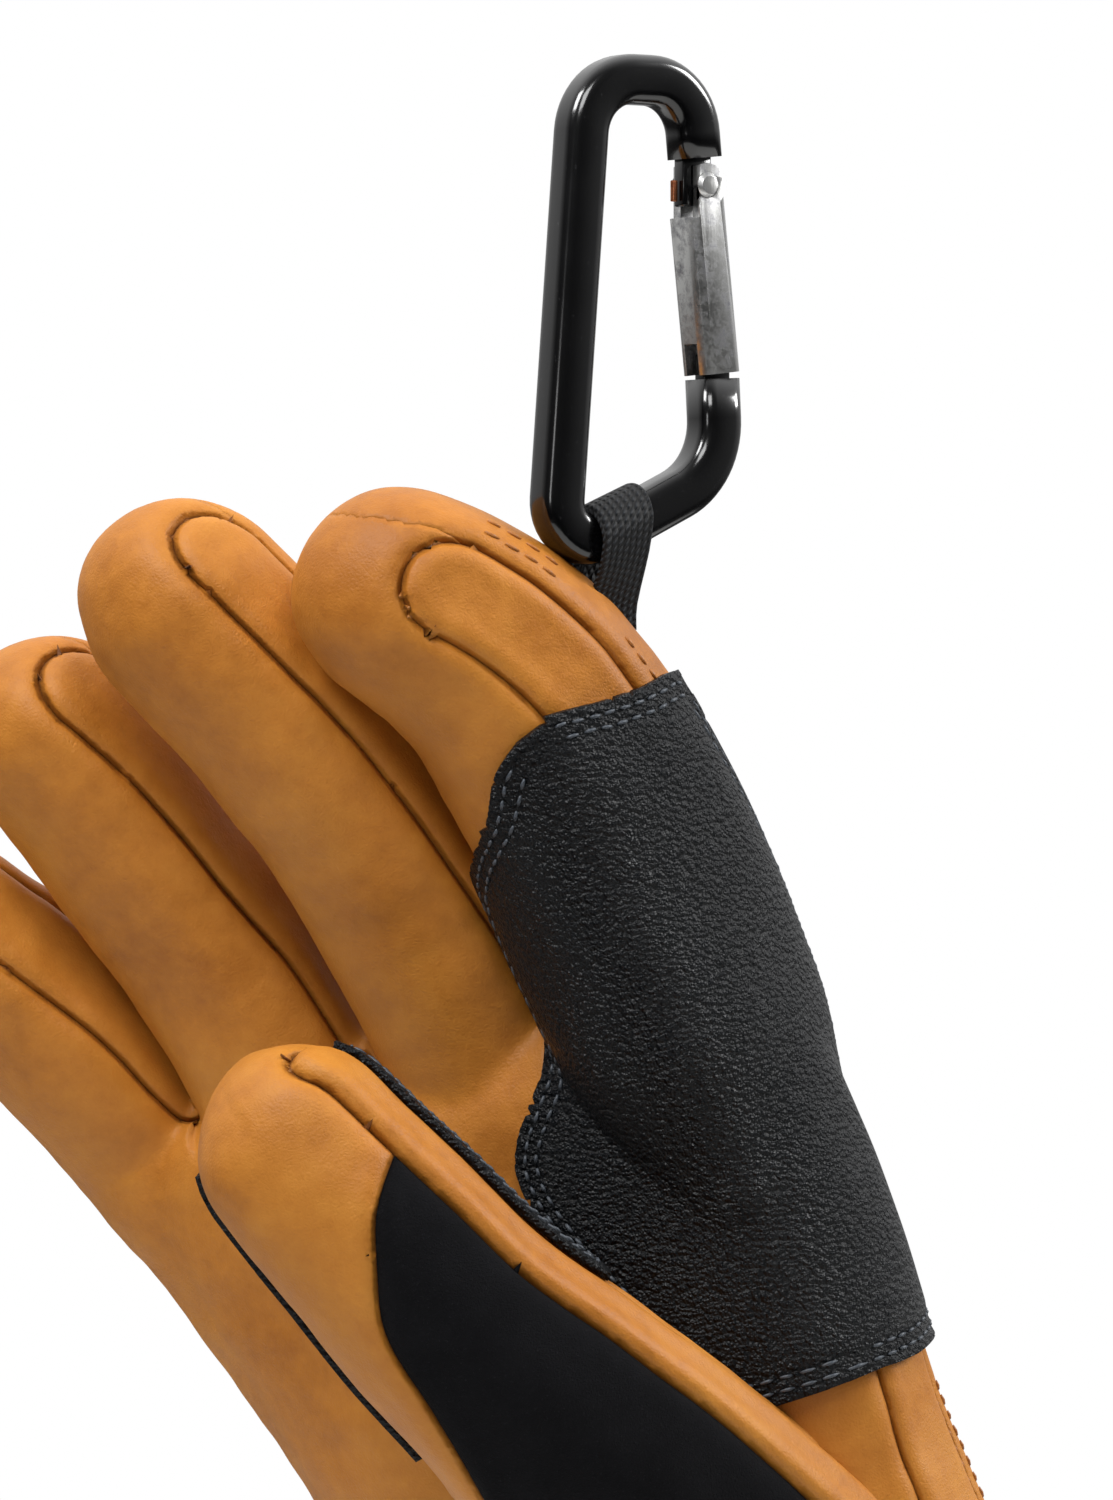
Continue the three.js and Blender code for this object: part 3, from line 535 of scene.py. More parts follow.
PANELS = {
    "palm_leather": ["palm_panel", *[finger[0] + "_front_panel" for finger in FINGERS]],
    "back_leather": ["back_panel", *[finger[0] + "_back_panel" for finger in FINGERS]],
    "cuff_leather": ["cuff"],
    "index_side_leather": ["index_side_panel"],
    "wrist_leather": ["wrist_panel"],
    "index_middle_strip": ["fourchette_index_middle"],
    "middle_ring_strip": ["fourchette_middle_ring"],
    "ring_little_strip": ["fourchette_ring_little"],
    "little_side_leather": ["little_side_panel"],
}


def cut_out(mesh, keep, name):
    """A copy of a mesh that keeps only some faces."""
    bm = net_of(mesh)
    bm.faces.ensure_lookup_table()
    bmesh.ops.delete(bm, geom=[bm.faces[i] for i in np.nonzero(~keep)[0]], context="FACES")
    return new_mesh(name, bm)


def fit(mesh, material, slot, body="glove", nodes=(), wall=0, offset=-1):
    """Makes a mesh a finished piece: its material, the wall of a hide, its body and nodes. The colour slot is
    not used.
    """
    mesh.shade_smooth()
    mesh.materials.clear()
    mesh.materials.append(material)
    piece = new_object(mesh.name, mesh)
    if wall:
        modifier = piece.modifiers.new("wall", "SOLIDIFY")
        modifier.thickness = wall * MM
        modifier.offset = offset
    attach(piece, body)
    if nodes:
        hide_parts(*nodes)
    return piece


def face_centres(mesh):
    flat_centres = np.empty(len(mesh.polygons) * 3)
    mesh.polygons.foreach_get("center", flat_centres)
    return flat_centres.reshape(-1, 3)


set_coords(skin, flat)
face_panels = panel_of(face_centres(skin))
set_coords(skin, place_hand(hand_points))
skin.flip_normals()
for name, nodes in PANELS.items():
    fit(cut_out(skin, face_panels == name, name), tan, "tan_leather", nodes=nodes, wall=LEATHER)

# Thumb
# Sewn from a tan tip, a black suede front that wipes nose and goggles, a narrow raised tan strip along its
# upper edge and a tan inner panel. It is shaped straight, in mm: along runs from its tip, across towards the
# index finger, out away from the palm.
THUMB_LINE = table(LINE_COLUMNS, [
    (0, -65, -58, -154), (18, -53, -60, -167), (36, -42, -60, -179), (56, -29, -58, -193),
    (80, -12, -51, -209), (104, 5, -40, -226), (126, 21, -26, -243)])
THUMB_SIZE = table(("along", "across", "out"), [
    (0, 14, 14), (14, 16, 17), (36, 17.5, 18), (60, 19, 19), (90, 23, 20), (126, 27, 20)])
THUMB_LENGTH = 126
THUMB_STRIP = (0, 11)
THUMB_STRIP_START = 6
STRIP_HIGH, STRIP_SLOPE = 0.9, 1.6
WIPE_EDGE = [(60, 26), (14, 28), (6, 33), (0, 40), (-6, 48), (-10, 60), (-16, 76), (-60, 92)]
THUMB_FRONT = -4      # the front starts here, out of the thumb's middle
THUMB_FACING = np.array([-0.25, -1.0, 0.0])
THUMB_FOLDS = [(22, 0.7, 5, (1, 1, 1)), (8, 0.2, 6, (1, 1, 1))]
THUMB_VOXEL = 1.0
THUMB_REACH = 0.32
OTHER_SIDE = 20.0     # a distance that stands for a seam which isn't there
OFF_STRIP = 0.4
FRONT_TURN = 8        # the front's seam reaches the strip's foot this far across


def thumb_section(share, angle):
    along = THUMB_LENGTH * (1 - math.cos(share * math.pi)) / 2
    end = dome_scale(along, 15) * dome_scale(THUMB_LENGTH - along, 2)
    return oval_point(0, float(curve_value(THUMB_SIZE, "across", along)) * end,
                      float(curve_value(THUMB_SIZE, "out", along)) * end, -angle, along, 2.2)


def place_thumb(points):
    across_by, along, out = points[:, 0], points[:, 1], points[:, 2]
    tangent = line_tangent(THUMB_LINE, along)
    facing = unit(THUMB_FACING - tangent * (tangent @ THUMB_FACING)[:, None])
    across = unit(np.cross(facing, tangent))
    return (line_point(THUMB_LINE, along) + across * across_by[:, None] + facing * out[:, None]) * MM


def polyline_distance(points, outline, closed=False):
    """Signed distance to a line of corners: positive on its left."""
    best = np.full(len(points), 1e9)
    side = np.ones(len(points))
    pairs = list(zip(outline[:-1], outline[1:])) + ([(outline[-1], outline[0])] if closed else [])
    for start, end in pairs:
        a, b = np.array(start, float), np.array(end, float)
        t = np.clip(((points - a) @ (b - a)) / ((b - a) @ (b - a)), 0, 1)
        gap = points - (a + t[:, None] * (b - a))
        distance = np.hypot(gap[:, 0], gap[:, 1])
        cross = (b - a)[0] * (points[:, 1] - a[1]) - (b - a)[1] * (points[:, 0] - a[0])
        nearer = distance < best - 1e-9
        best = np.where(nearer, distance, best)
        side = np.where(nearer, np.sign(cross), side)
    return best * side


def round_line(corners, steps):
    """Smooth (Catmull-Rom) points through the corners of a line."""
    points = [np.array(corner, float) for corner in corners]
    last = len(points) - 1
    result = []
    for i in range(last):
        p0, p1, p2, p3 = points[max(i - 1, 0)], points[i], points[i + 1], points[min(i + 2, last)]
        for t in np.arange(steps) / steps:
            result.append(0.5 * (2 * p1 + (p2 - p0) * t + (2 * p0 - 5 * p1 + 4 * p2 - p3) * t ** 2
                                 + (3 * p1 - p0 - 3 * p2 + p3) * t ** 3))
    return [*result, points[-1]]


bm = bmesh.new()
add_tube(bm, thumb_section, turns=48, rings=80)
thumb_skin, net = even_skin(bm, THUMB_VOXEL, "thumb_skin", 3)
for out in (THUMB_FRONT, *THUMB_STRIP):
    cut_net(net, (0, 0, out), (0, 0, 1))
wipe_line = [np.array(WIPE_EDGE[0], float), *round_line(WIPE_EDGE[1:-1], 4), np.array(WIPE_EDGE[-1], float)]
for a, b in zip(wipe_line[:-1], wipe_line[1:]):
    length = np.hypot(*(b - a))
    run = (b - a) / length

    def beside_cut(vert):
        step = (vert.co.x - a[0]) * run[0] + (vert.co.y - a[1]) * run[1]
        return -0.8 < step < length + 0.8 and vert.co.z > THUMB_FRONT - 1

    close = {face for vert in net.verts if beside_cut(vert) for face in vert.link_faces}
    edges = {edge for face in close for edge in face.edges}
    verts = {vert for face in close for vert in face.verts}
    cut_net(net, (*a, 0), (-run[1], run[0], 0), [*close, *edges, *verts])
net.to_mesh(thumb_skin)
net.free()
thumb_even, thumb_normals = coords(thumb_skin), normals(thumb_skin)


def thumb_seams(points):
    """Signed distances to the strip's edge (negative on the strip), the wipe's edge (negative on the wipe)
    and the seam between the front and the inner panel (positive on the front)."""
    across, along, out = points[:, 0], points[:, 1], points[:, 2]
    half = (THUMB_STRIP[1] - THUMB_STRIP[0]) / 2
    middle = (THUMB_STRIP[1] + THUMB_STRIP[0]) / 2
    past = np.maximum(THUMB_STRIP_START + half - along, 0)
    strip = np.where(across > 0, np.hypot(out - middle, past) - half, OTHER_SIDE)
    wipe = polyline_distance(points[:, :2], wipe_line)
    front = out - THUMB_FRONT - (THUMB_STRIP[0] - THUMB_FRONT) * smooth(across / FRONT_TURN)
    return strip, wipe, front


thumb_flat = drawn_to_line(thumb_even, thumb_normals, lambda points: thumb_seams(points)[0], THUMB_REACH)
strip, wipe, front = thumb_seams(thumb_flat)
moved = drawn_to_line(thumb_flat, thumb_normals, lambda points: thumb_seams(points)[2], THUMB_REACH)
thumb_flat = np.where((strip > OFF_STRIP)[:, None], moved, thumb_flat)
moved = drawn_to_line(thumb_flat, thumb_normals, lambda points: thumb_seams(points)[1], THUMB_REACH)
thumb_flat = np.where(((strip > OFF_STRIP) & (front > OFF_STRIP))[:, None], moved, thumb_flat)
strip, wipe, front = thumb_seams(thumb_flat)
set_coords(thumb_skin, thumb_flat)
seams = np.stack([strip, np.where((front > 0) & (strip > 0), wipe, OTHER_SIDE),
                  np.where(strip > 0, front, OTHER_SIDE)])
thumb_seam = seams[np.argmin(np.abs(seams), axis=0), np.arange(len(thumb_flat))]
strip_rise = STRIP_HIGH * smooth(-strip / STRIP_SLOPE)
thumb_folds = folds(thumb_flat, THUMB_FOLDS)
thumb_points = thumb_flat + thumb_normals * (crease_profile(thumb_seam) + strip_rise + thumb_folds)[:, None]
add_attribute(thumb_skin, "seam", thumb_seam)
strip, wipe, front = thumb_seams(face_centres(thumb_skin))
thumb_faces = np.where(strip < 0, "thumb_strip_leather",
                       np.where(front < 0, "thumb_inner_leather",
                                np.where(wipe < 0, "nose_wipe_suede", "thumb_tip_leather")))
set_coords(thumb_skin, place_thumb(thumb_points))
thumb_skin.flip_normals()


# Black split leather, buffed to a short nap: almost no shine, with cloudy strokes where the nap lies
# differently and small pale specks of lint.
def black_suede():
    material, tree, place = new_material("buffed_black_suede")
    strokes = add_node(tree, "TexNoise", {"Scale": cells(8.33), "Detail": 6.0, "Roughness": 0.7},
                       {"Vector": place})
    nap = add_node(tree, "TexNoise", {"Scale": cells(0.385), "Detail": 3.0, "Roughness": 0.8},
                   {"Vector": place})
    tint = add_node(tree, "MixRGB", {"Color1": srgb("#050506"), "Color2": srgb("#1A1A1D")},
                    {"Fac": strokes})
    fleck = add_node(tree, "MapRange", {"From Min": 0.6, "From Max": 0.8, "To Max": 0.35}, {"Value": nap})
    colour = add_node(tree, "MixRGB", {"Color2": srgb("#4A4A4C")}, {"Fac": fleck, "Color1": tint})
    bump = add_node(tree, "Bump", {"Strength": 1.0, "Distance": 0.0006}, {"Height": nap})
    finish_material(tree, {"Roughness": 0.95, "Specular IOR Level": 0.1, "Sheen Weight": 0.06,
                           "Sheen Roughness": 0.6, "Sheen Tint": srgb("#55555A")},
                    {"Base Color": colour, "Normal": bump})
    return material


suede = black_suede()
THUMB_PANELS = {
    "thumb_strip_leather": ("thumb_strip", tan, "tan_leather"),
    "thumb_inner_leather": ("thumb_inner_panel", tan, "tan_leather"),
    "thumb_tip_leather": ("thumb_tip_panel", tan, "tan_leather"),
    "nose_wipe_suede": ("nose_wipe", suede, "black_suede"),
}
for name, (node, material, slot) in THUMB_PANELS.items():
    fit(cut_out(thumb_skin, thumb_faces == name, name), material, slot, nodes=[node], wall=LEATHER)

# Index patch
# A second layer of coarse, stamped black cowhide on the index side and in the thumb crotch, laid over the
# tan leather with a raw cut edge and sewn down with two rows of black thread.
PATCH_LIFT, PATCH_THICK = 1.25, 1.3
PATCH_BODY = 0.6      # how far the hide's wall stands out of its net: 1 is all of it, -1 none
PATCH_SIDE = 45       # the hide ends before this u
PATCH_REACH = 0.55
STITCH_ROWS = (1.9, 4.1)
ROW_DEEP, ROW_WIDE = 0.5, 0.7
HIDE_FOLDS = [(26, 0.9, 8, (1, 1, 1)), (9, 0.3, 9, (1, 0.5, 1))]
PATCH_OUTLINE = [  # wrap round the index side, along the hand
    (-19, 161), (-8, 164), (0, 167), (8, 171), (13, 167), (18, 159), (26, 153), (33, 147), (37, 139),
    (39, 127), (41, 114), (52, 98), (45, 76), (28, 51), (0, 49), (-19, 50)]
ROUND_FROM, ROUND_TO = 3, 14   # the corners between these are drawn round
SIDE_U, SIDE_N, PALM_U = -14, 9, 8   # where the index side turns to the back and to the palm


def patch_chart(points):
    """Wraps the index side flat: the first number runs from the back, over the side, onto the palm."""
    u, n = points[:, 0], points[:, 2]
    over = np.maximum(u - SIDE_U, 0)
    palm_side = np.minimum(n, SIDE_N) + over + np.where(u > PALM_U, np.maximum(SIDE_N - n, 0) * 2, 0)
    return np.stack([np.where(n < 0, n - over, palm_side), points[:, 1]], axis=-1)


patch_edge = [np.array(c, float) for c in PATCH_OUTLINE[:ROUND_FROM]]
patch_edge += round_line(PATCH_OUTLINE[ROUND_FROM:ROUND_TO], 6)
patch_edge += [np.array(c, float) for c in PATCH_OUTLINE[ROUND_TO:]]


def edge_depth(spots):
    """How far inside the patch's edge each point of the chart lies, in mm."""
    return -polyline_distance(spots, patch_edge, closed=True)


def patch_depth(points):
    return edge_depth(patch_chart(points))


patch_flat = drawn_to_line(flat, flat_normals, patch_depth, PATCH_REACH * VOXEL)
patch_flat = np.where((flat[:, 0] < PATCH_SIDE)[:, None], patch_flat, flat)
depth = patch_depth(patch_flat)
patch_skin = skin.copy()
set_coords(patch_skin, patch_flat)
centres = face_centres(patch_skin)
patch_keep = (patch_depth(centres) > 0.05) & (centres[:, 0] < PATCH_SIDE)
# The leather sinks a little along the stitch rows
sunk = sum(np.exp(-((depth - row) / ROW_WIDE) ** 2) for row in STITCH_ROWS) * ROW_DEEP
patch_lift = PATCH_LIFT + folds(flat, HIDE_FOLDS) * 0.6 + soft_folds * 0.5 - sunk
patch_world = place_hand(patch_flat + flat_normals * patch_lift[:, None])
set_coords(patch_skin, patch_world)


# Hide stamped with pebbles 1.3 mm across in uneven rows, with a finer grain between: black with a dull glint.
def pebbled_cowhide():
    material, tree, place = new_material("stamped_black_cowhide")
    warp = add_node(tree, "TexNoise", {"Scale": cells(3.33), "Detail": 2.0}, {"Vector": place})
    bent = add_node(tree, "MixRGB", {"Fac": 0.0012}, {"Color1": place, "Color2": warp.outputs["Color"]},
                    blend_type="ADD")
    rows = add_node(tree, "Mapping", {"Scale": (1.0, 1.0, 1.5)}, {"Vector": bent})
    pebble = add_node(tree, "TexVoronoi", {"Scale": cells(1.316)}, {"Vector": rows})
    fine = add_node(tree, "TexVoronoi", {"Scale": cells(0.526)}, {"Vector": place})
    height = add_node(tree, "MixRGB", {"Fac": 0.35}, {"Color1": pebble, "Color2": fine})
    bump = add_node(tree, "Bump", {"Strength": 1.0, "Distance": 0.001}, {"Height": height}, invert=True)
    clouds = add_node(tree, "TexNoise", {"Scale": cells(16.7), "Detail": 4.0}, {"Vector": place})
    tint = add_node(tree, "MixRGB", {"Color1": srgb("#05070A"), "Color2": srgb("#0C1016")}, {"Fac": clouds})
    valley = add_node(tree, "MapRange", {"From Min": 0.25, "From Max": 0.6, "To Max": 0.7},
                      {"Value": height})
    colour = add_node(tree, "MixRGB", {"Color2": srgb("#0A0B0D")}, {"Fac": valley, "Color1": tint})
    shine = add_node(tree, "MapRange",
                     {"From Min": 0.15, "From Max": 0.55, "To Min": 0.2, "To Max": 0.42},
                     {"Value": height})
    finish_material(tree, {"Specular IOR Level": 0.22},
                    {"Base Color": colour, "Roughness": shine, "Normal": bump})
    return material


pebbled = pebbled_cowhide()
fit(cut_out(patch_skin, patch_keep, "index_patch_hide"), pebbled, "black_leather", nodes=["index_patch"],
    wall=PATCH_THICK, offset=PATCH_BODY)

# Thumb patch
# The same black hide faces the palm on the thumb's inner side, sewn on with two rows. Only its edge shows
# above the raised strip.
THUMB_PATCH_FROM, THUMB_PATCH_TO, THUMB_PATCH_OUT = 9, 69, -1
thumb_patch_flat = thumb_even.copy()
for axis, edge in ((1, THUMB_PATCH_FROM), (1, THUMB_PATCH_TO), (2, THUMB_PATCH_OUT)):
    thumb_patch_flat[np.abs(thumb_even[:, axis] - edge) < PATCH_REACH, axis] = edge
thumb_patch_skin = thumb_skin.copy()
set_coords(thumb_patch_skin, thumb_patch_flat)
thumb_centres = face_centres(thumb_patch_skin)
thumb_keep = ((thumb_centres[:, 1] > THUMB_PATCH_FROM) & (thumb_centres[:, 1] < THUMB_PATCH_TO)
              & (thumb_centres[:, 2] < THUMB_PATCH_OUT))
thumb_patch_world = place_thumb(thumb_patch_flat + thumb_normals * (1.0 + thumb_folds * 0.6)[:, None])
set_coords(thumb_patch_skin, thumb_patch_world)
fit(cut_out(thumb_patch_skin, thumb_keep, "thumb_patch_hide"), pebbled, "black_leather",
    nodes=["thumb_patch"], wall=PATCH_THICK, offset=PATCH_BODY)

# Stitching
# Black bonded thread sews the two hides down in two rows; tan thread sews the wrist panel and, where the
# loop is caught, the fingertip. Each stitch is a short bead of thread 2 mm long.
STITCH_LONG, STITCH_GAP, THREAD = 2.0, 0.75, 0.36
HIDE_TOP = PATCH_THICK * 0.8 + 0.02
TAN_TOP = 0.1
WRIST_ROWS = (-7.6, -10.2)
WRIST_FROM, WRIST_TO = -12, 44
FINGERTIP_ROWS = [(192, 181, -10.8), (192, 181, -13.6), (170, 161, -12.2)]   # from, to, out of the palm


def thread_material(name, dark, light):
    material, tree, place = new_material(name)
    ply = add_node(tree, "TexNoise", {"Scale": cells(0.333), "Detail": 2.0}, {"Vector": place})
    tint = add_node(tree, "MixRGB", {"Color1": srgb(dark), "Color2": srgb(light)}, {"Fac": ply})
    bump = add_node(tree, "Bump", {"Strength": 0.5, "Distance": 0.0001}, {"Height": ply})
    finish_material(tree, {"Roughness": 0.45, "Specular IOR Level": 0.5},
                    {"Base Color": tint, "Normal": bump})
    return material


def surface_finder(chart_points, world_points, world_normals):
    """Finds the place and the normal on a skin for a point of its chart."""
    tree = kdtree.KDTree(len(chart_points))
    for i, (a, b) in enumerate(chart_points):
        tree.insert((a, b, 0), i)
    tree.balance()

    def find(point):
        spot, normal, total = Vector(), Vector(), 0.0
        for _, i, distance in tree.find_n((point[0], point[1], 0), 5):
            share = 1 / (distance + 0.15)
            spot += Vector(world_points[i]) * share
            normal += Vector(world_normals[i]) * share
            total += share
        return spot / total, normal.normalized()

    return find


def add_stitches(bm, line, find, lift):
    """A row of stitches along a line of chart points, standing off the skin by a lift in mm."""
    lengths = [0.0]
    for a, b in zip(line[:-1], line[1:]):
        lengths.append(lengths[-1] + math.hypot(b[0] - a[0], b[1] - a[1]))
    pitch = STITCH_LONG + STITCH_GAP
    across, up = [spot[0] for spot in line], [spot[1] for spot in line]
    for k in range(int(lengths[-1] / pitch)):
        ends = []
        for along in (k * pitch, k * pitch + STITCH_LONG):
            spot, normal = find((np.interp(along, lengths, across), np.interp(along, lengths, up)))
            ends.append(spot + normal * lift * MM)
        run = ends[1] - ends[0]
        if run.length < 0.5 * MM or run.length > 4 * MM:
            continue
        x = run.normalized()
        y = normal.cross(x).normalized()
        turn = Matrix((x, y, x.cross(y))).transposed().to_4x4()
        size = Matrix.Diagonal((run.length * 0.56, THREAD * MM, THREAD * MM, 1))
        bmesh.ops.create_icosphere(bm, subdivisions=1, radius=1,
                                   matrix=Matrix.Translation((ends[0] + ends[1]) / 2) @ turn @ size)


def inner_line(outline, depth_of, row):
    """The line that runs inside an outline at a steady distance."""
    result = []
    count = len(outline)
    for i in range(count):
        a, b = np.array(outline[i], float), np.array(outline[(i + 1) % count], float)
        length = max(np.hypot(*(b - a)), 1e-6)
        inward = np.array([-(b - a)[1], (b - a)[0]]) / length
        for t in np.arange(0, 1, 1.0 / max(int(length / 0.5), 1)):
            for side in (1, -1):
                spot = a + (b - a) * t + inward * row * side
                if abs(depth_of(spot[None])[0] - row) < 0.06:
                    result.append(spot)
    return result


def sew(name, lines, find, lift, thread, slot):
    """Rows of stitches as one piece of thread."""
    bm = bmesh.new()
    for line in lines:
        add_stitches(bm, line, find, lift)
    fit(new_mesh(name, bm), thread, slot)


def skin_normals(points, mesh):
    probe = mesh.copy()
    set_coords(probe, points)
    result = normals(probe)
    bpy.data.meshes.remove(probe)
    return result


black_thread = thread_material("black_bonded_thread", "#1E2126", "#565D66")
tan_thread = thread_material("tan_bonded_thread", "#7A3F10", "#C07A2E")

patch_normals = skin_normals(patch_world, patch_skin)
on_patch = (depth > -0.6) & (flat[:, 0] < PATCH_SIDE)
find = surface_finder(patch_chart(patch_flat)[on_patch], patch_world[on_patch], patch_normals[on_patch])
sew("patch_stitches", [inner_line(patch_edge, edge_depth, row) for row in STITCH_ROWS], find, HIDE_TOP,
    black_thread, "black_leather")

thumb_patch_normals = skin_normals(thumb_patch_world, thumb_patch_skin)
on_side = (thumb_flat[:, 0] > 0) & (thumb_flat[:, 2] < 2)
find = surface_finder(thumb_patch_flat[on_side][:, 1:], thumb_patch_world[on_side],
                      thumb_patch_normals[on_side])
lines = []
for row in STITCH_ROWS:
    first, last, top = THUMB_PATCH_FROM + row, THUMB_PATCH_TO - row, THUMB_PATCH_OUT - row
    lines.append([(first, THUMB_PATCH_OUT - 7), (first, top), (last, top), (last, THUMB_PATCH_OUT - 7)])
sew("thumb_patch_stitches", lines, find, HIDE_TOP, black_thread, "black_leather")

hand_world = place_hand(hand_points)
hand_normals = skin_normals(hand_world, skin)
index_side = flat[:, 0] < 0
beside = index_side & (flat[:, 1] < 60)
find = surface_finder(flat[beside][:, 1:], hand_world[beside], hand_normals[beside])
sew("wrist_stitches", [[(WRIST_FROM, out), (WRIST_TO, out)] for out in WRIST_ROWS], find, TAN_TOP, tan_thread,
    "tan_leather")
beside = index_side & (flat[:, 1] > 150)
find = surface_finder(flat[beside][:, 1:], hand_world[beside], hand_normals[beside])
sew("fingertip_stitches", [[(first, out), (last, out)] for first, last, out in FINGERTIP_ROWS], find, TAN_TOP,
    tan_thread, "tan_leather")

# Hang loop
# Black polyester webbing, 9.5 mm wide and 1.3 mm thick, folded round the carabiner's bar. Both of its ends
# are caught in the seam of the index fingertip.
CARABINER_TURN = math.radians(35)
SPINE_OFFSET = -15.8
STRAP = {"wide": 9.5, "thick": 1.3, "across": 9.6, "up": -68.4, "slope": 0.42, "gap": 0.45, "foot": -84.0}
TWILL_SLANT = 28
STOCK_WIDE, STOCK_THICK = 8.0, 7.0   # the carabiner's bar


def place_carabiner(point):
    """From the carabiner's own plane, in mm, to its hanging place, in metres."""
    across, up, out = point
    across += SPINE_OFFSET
    return Vector((across * math.cos(CARABINER_TURN) + out * math.sin(CARABINER_TURN),
                   across * math.sin(CARABINER_TURN) - out * math.cos(CARABINER_TURN), up)) * MM


def sweep(route, section, place):
    """A bar of one section along a flat route: a grid whose rows are carried along it, joined up. Its UV
    map gives the way round and the way along, in metres."""
    bm = bmesh.new()
    rows, sides = len(route), len(section)
    bmesh.ops.create_grid(bm, x_segments=sides, y_segments=rows - 1, size=1, calc_uvs=True)
    bm.verts.ensure_lookup_table()
    bm.faces.ensure_lookup_table()
    uv = bm.loops.layers.uv.verify()
    lengths = [0.0]
    for a, b in zip(route[:-1], route[1:]):
        lengths.append(lengths[-1] + math.hypot(b[0] - a[0], b[1] - a[1]))
    rounds = [0.0]
    for i in range(sides):
        a, b = section[i], section[(i + 1) % sides]
        rounds.append(rounds[-1] + math.hypot(b[0] - a[0], b[1] - a[1]))
    spot = {vert: (round((vert.co.x + 1) / 2 * sides), round((vert.co.y + 1) / 2 * (rows - 1)))
            for vert in bm.verts}
    for face in bm.faces:
        for loop in face.loops:
            i, j = spot[loop.vert]
            loop[uv].uv = (rounds[i] * MM, lengths[j] * MM)
    for vert, (i, j) in spot.items():
        before, after = route[max(j - 1, 0)], route[min(j + 1, rows - 1)]
        run, rise = after[0] - before[0], after[1] - before[1]
        length = math.hypot(run, rise)
        wide, out = section[i % sides]
        vert.co = place((route[j][0] - rise / length * wide, route[j][1] + run / length * wide, out))
    bmesh.ops.remove_doubles(bm, verts=bm.verts, dist=1e-7)
    bmesh.ops.holes_fill(bm, edges=[edge for edge in bm.edges if edge.is_boundary], sides=0)
    bmesh.ops.recalc_face_normals(bm, faces=bm.faces)
    return bm


def round_section(wide, thick, radius, steps=5):
    """The rounded outline of a bar, as (across, out) pairs."""
    points = []
    for cx, cy, start in ((1, 1, 0), (-1, 1, 1), (-1, -1, 2), (1, -1, 3)):
        for s in range(steps + 1):
            angle = (start + s / steps) * math.pi / 2
            points.append((cx * (wide / 2 - radius) + radius * math.cos(angle),
                           cy * (thick / 2 - radius) + radius * math.sin(angle)))
    return points


def strap_route():
    inside = STOCK_WIDE / 2 * math.hypot(1, STRAP["slope"]) + STRAP["gap"]
    middle = inside + STRAP["thick"] / 2
    foot, up, thick = STRAP["foot"], STRAP["up"], STRAP["thick"]
    corners = [(thick / 2 + 0.15, foot), (thick / 2 + 0.4, foot + 4), (middle - 1.1, up - 4.5)]
    turns = [a * math.pi / 10 for a in range(11)]
    corners += [(middle * math.cos(turn), up + middle * math.sin(turn)) for turn in turns]
    corners += [(-middle + 1.1, up - 4.5), (-thick / 2 - 0.4, foot + 4), (-thick / 2 - 0.15, foot)]
    return [tuple(p) for p in round_line(corners, 3)]


def bands(spacing):
    """The scale of a wave pattern whose bands are this many mm apart."""
    return math.pi / 10 * 1000 / spacing


def place_strap(point):
    """The strap's loop stands across the bar; its top lies square on the sloping bar."""
    out, up, across = point
    rise = across * STRAP["slope"] * float(smooth((up - STRAP["foot"]) / (STRAP["up"] - STRAP["foot"])))
    return place_carabiner((STRAP["across"] + across, up + rise, out))


# Polyester twill: slanting picks cross warp threads about 1 mm apart, dull black, with a painted highlight
# greying the crowns.
def woven_tape():
    material, tree, _ = new_material("woven_black_polyester_tape")
    uv = add_node(tree, "UVMap").outputs["UV"]
    turned = add_node(tree, "Mapping", {"Rotation": (0, 0, math.radians(TWILL_SLANT))}, {"Vector": uv})
    ribs = add_node(tree, "TexWave", {"Scale": bands(1.047), "Distortion": 0.8, "Detail": 1.0},
                    {"Vector": turned}, bands_direction="Y")
    cross = add_node(tree, "TexWave", {"Scale": bands(1.208), "Distortion": 0.5}, {"Vector": uv},
                     bands_direction="X")
    weave_height_and_highlight = add_node(tree, "Math", links={0: ribs.outputs["Fac"], 1: cross.outputs["Fac"]},
                     operation="MULTIPLY")
    # Painted highlight: the crowns of the weave are coloured grey where the black thread would catch the
    # light
    tint = add_node(tree, "MixRGB", {"Color1": srgb("#040405"), "Color2": srgb("#272A2F")}, {"Fac": weave_height_and_highlight})
    bump = add_node(tree, "Bump", {"Strength": 1.0, "Distance": 0.0007}, {"Height": weave_height_and_highlight})
    finish_material(tree, {"Roughness": 0.6, "Specular IOR Level": 0.3},
                    {"Base Color": tint, "Normal": bump})
    return material


tape = sweep(strap_route(), round_section(STRAP["thick"], STRAP["wide"], 0.5, 3), place_strap)
fit(new_mesh("webbing_loop", tape), woven_tape(), "black_webbing", nodes=["hang_loop"])

# Carabiner
# A bent aluminium bar with flattened sides, anodised gloss black. Its gate is bent from steel sheet, turns
# on a rivet through the bar's thin end, is closed by a copper-plated spring and shuts over the nose.
CARABINER_BEARING = 4
CARABINER_CORNERS = [  # across, up, radius
    (30.9, -58.5, 13), (-1.2, -73.5, 6), (5, CARABINER_BEARING, 9.5), (25.4, CARABINER_BEARING, 9)]
RIVET = (26.6, -12.6)
NOSE = (30.1, -43.5)
SHOULDER = 4.5
BAR_ROUND = 2.3
TANG = {"thick": 2.7, "inner": 3.2, "outer": 2.4, "down": 3.4}
TONGUE = {"thick": 2.7, "wide": 5.2, "up": 4.0}


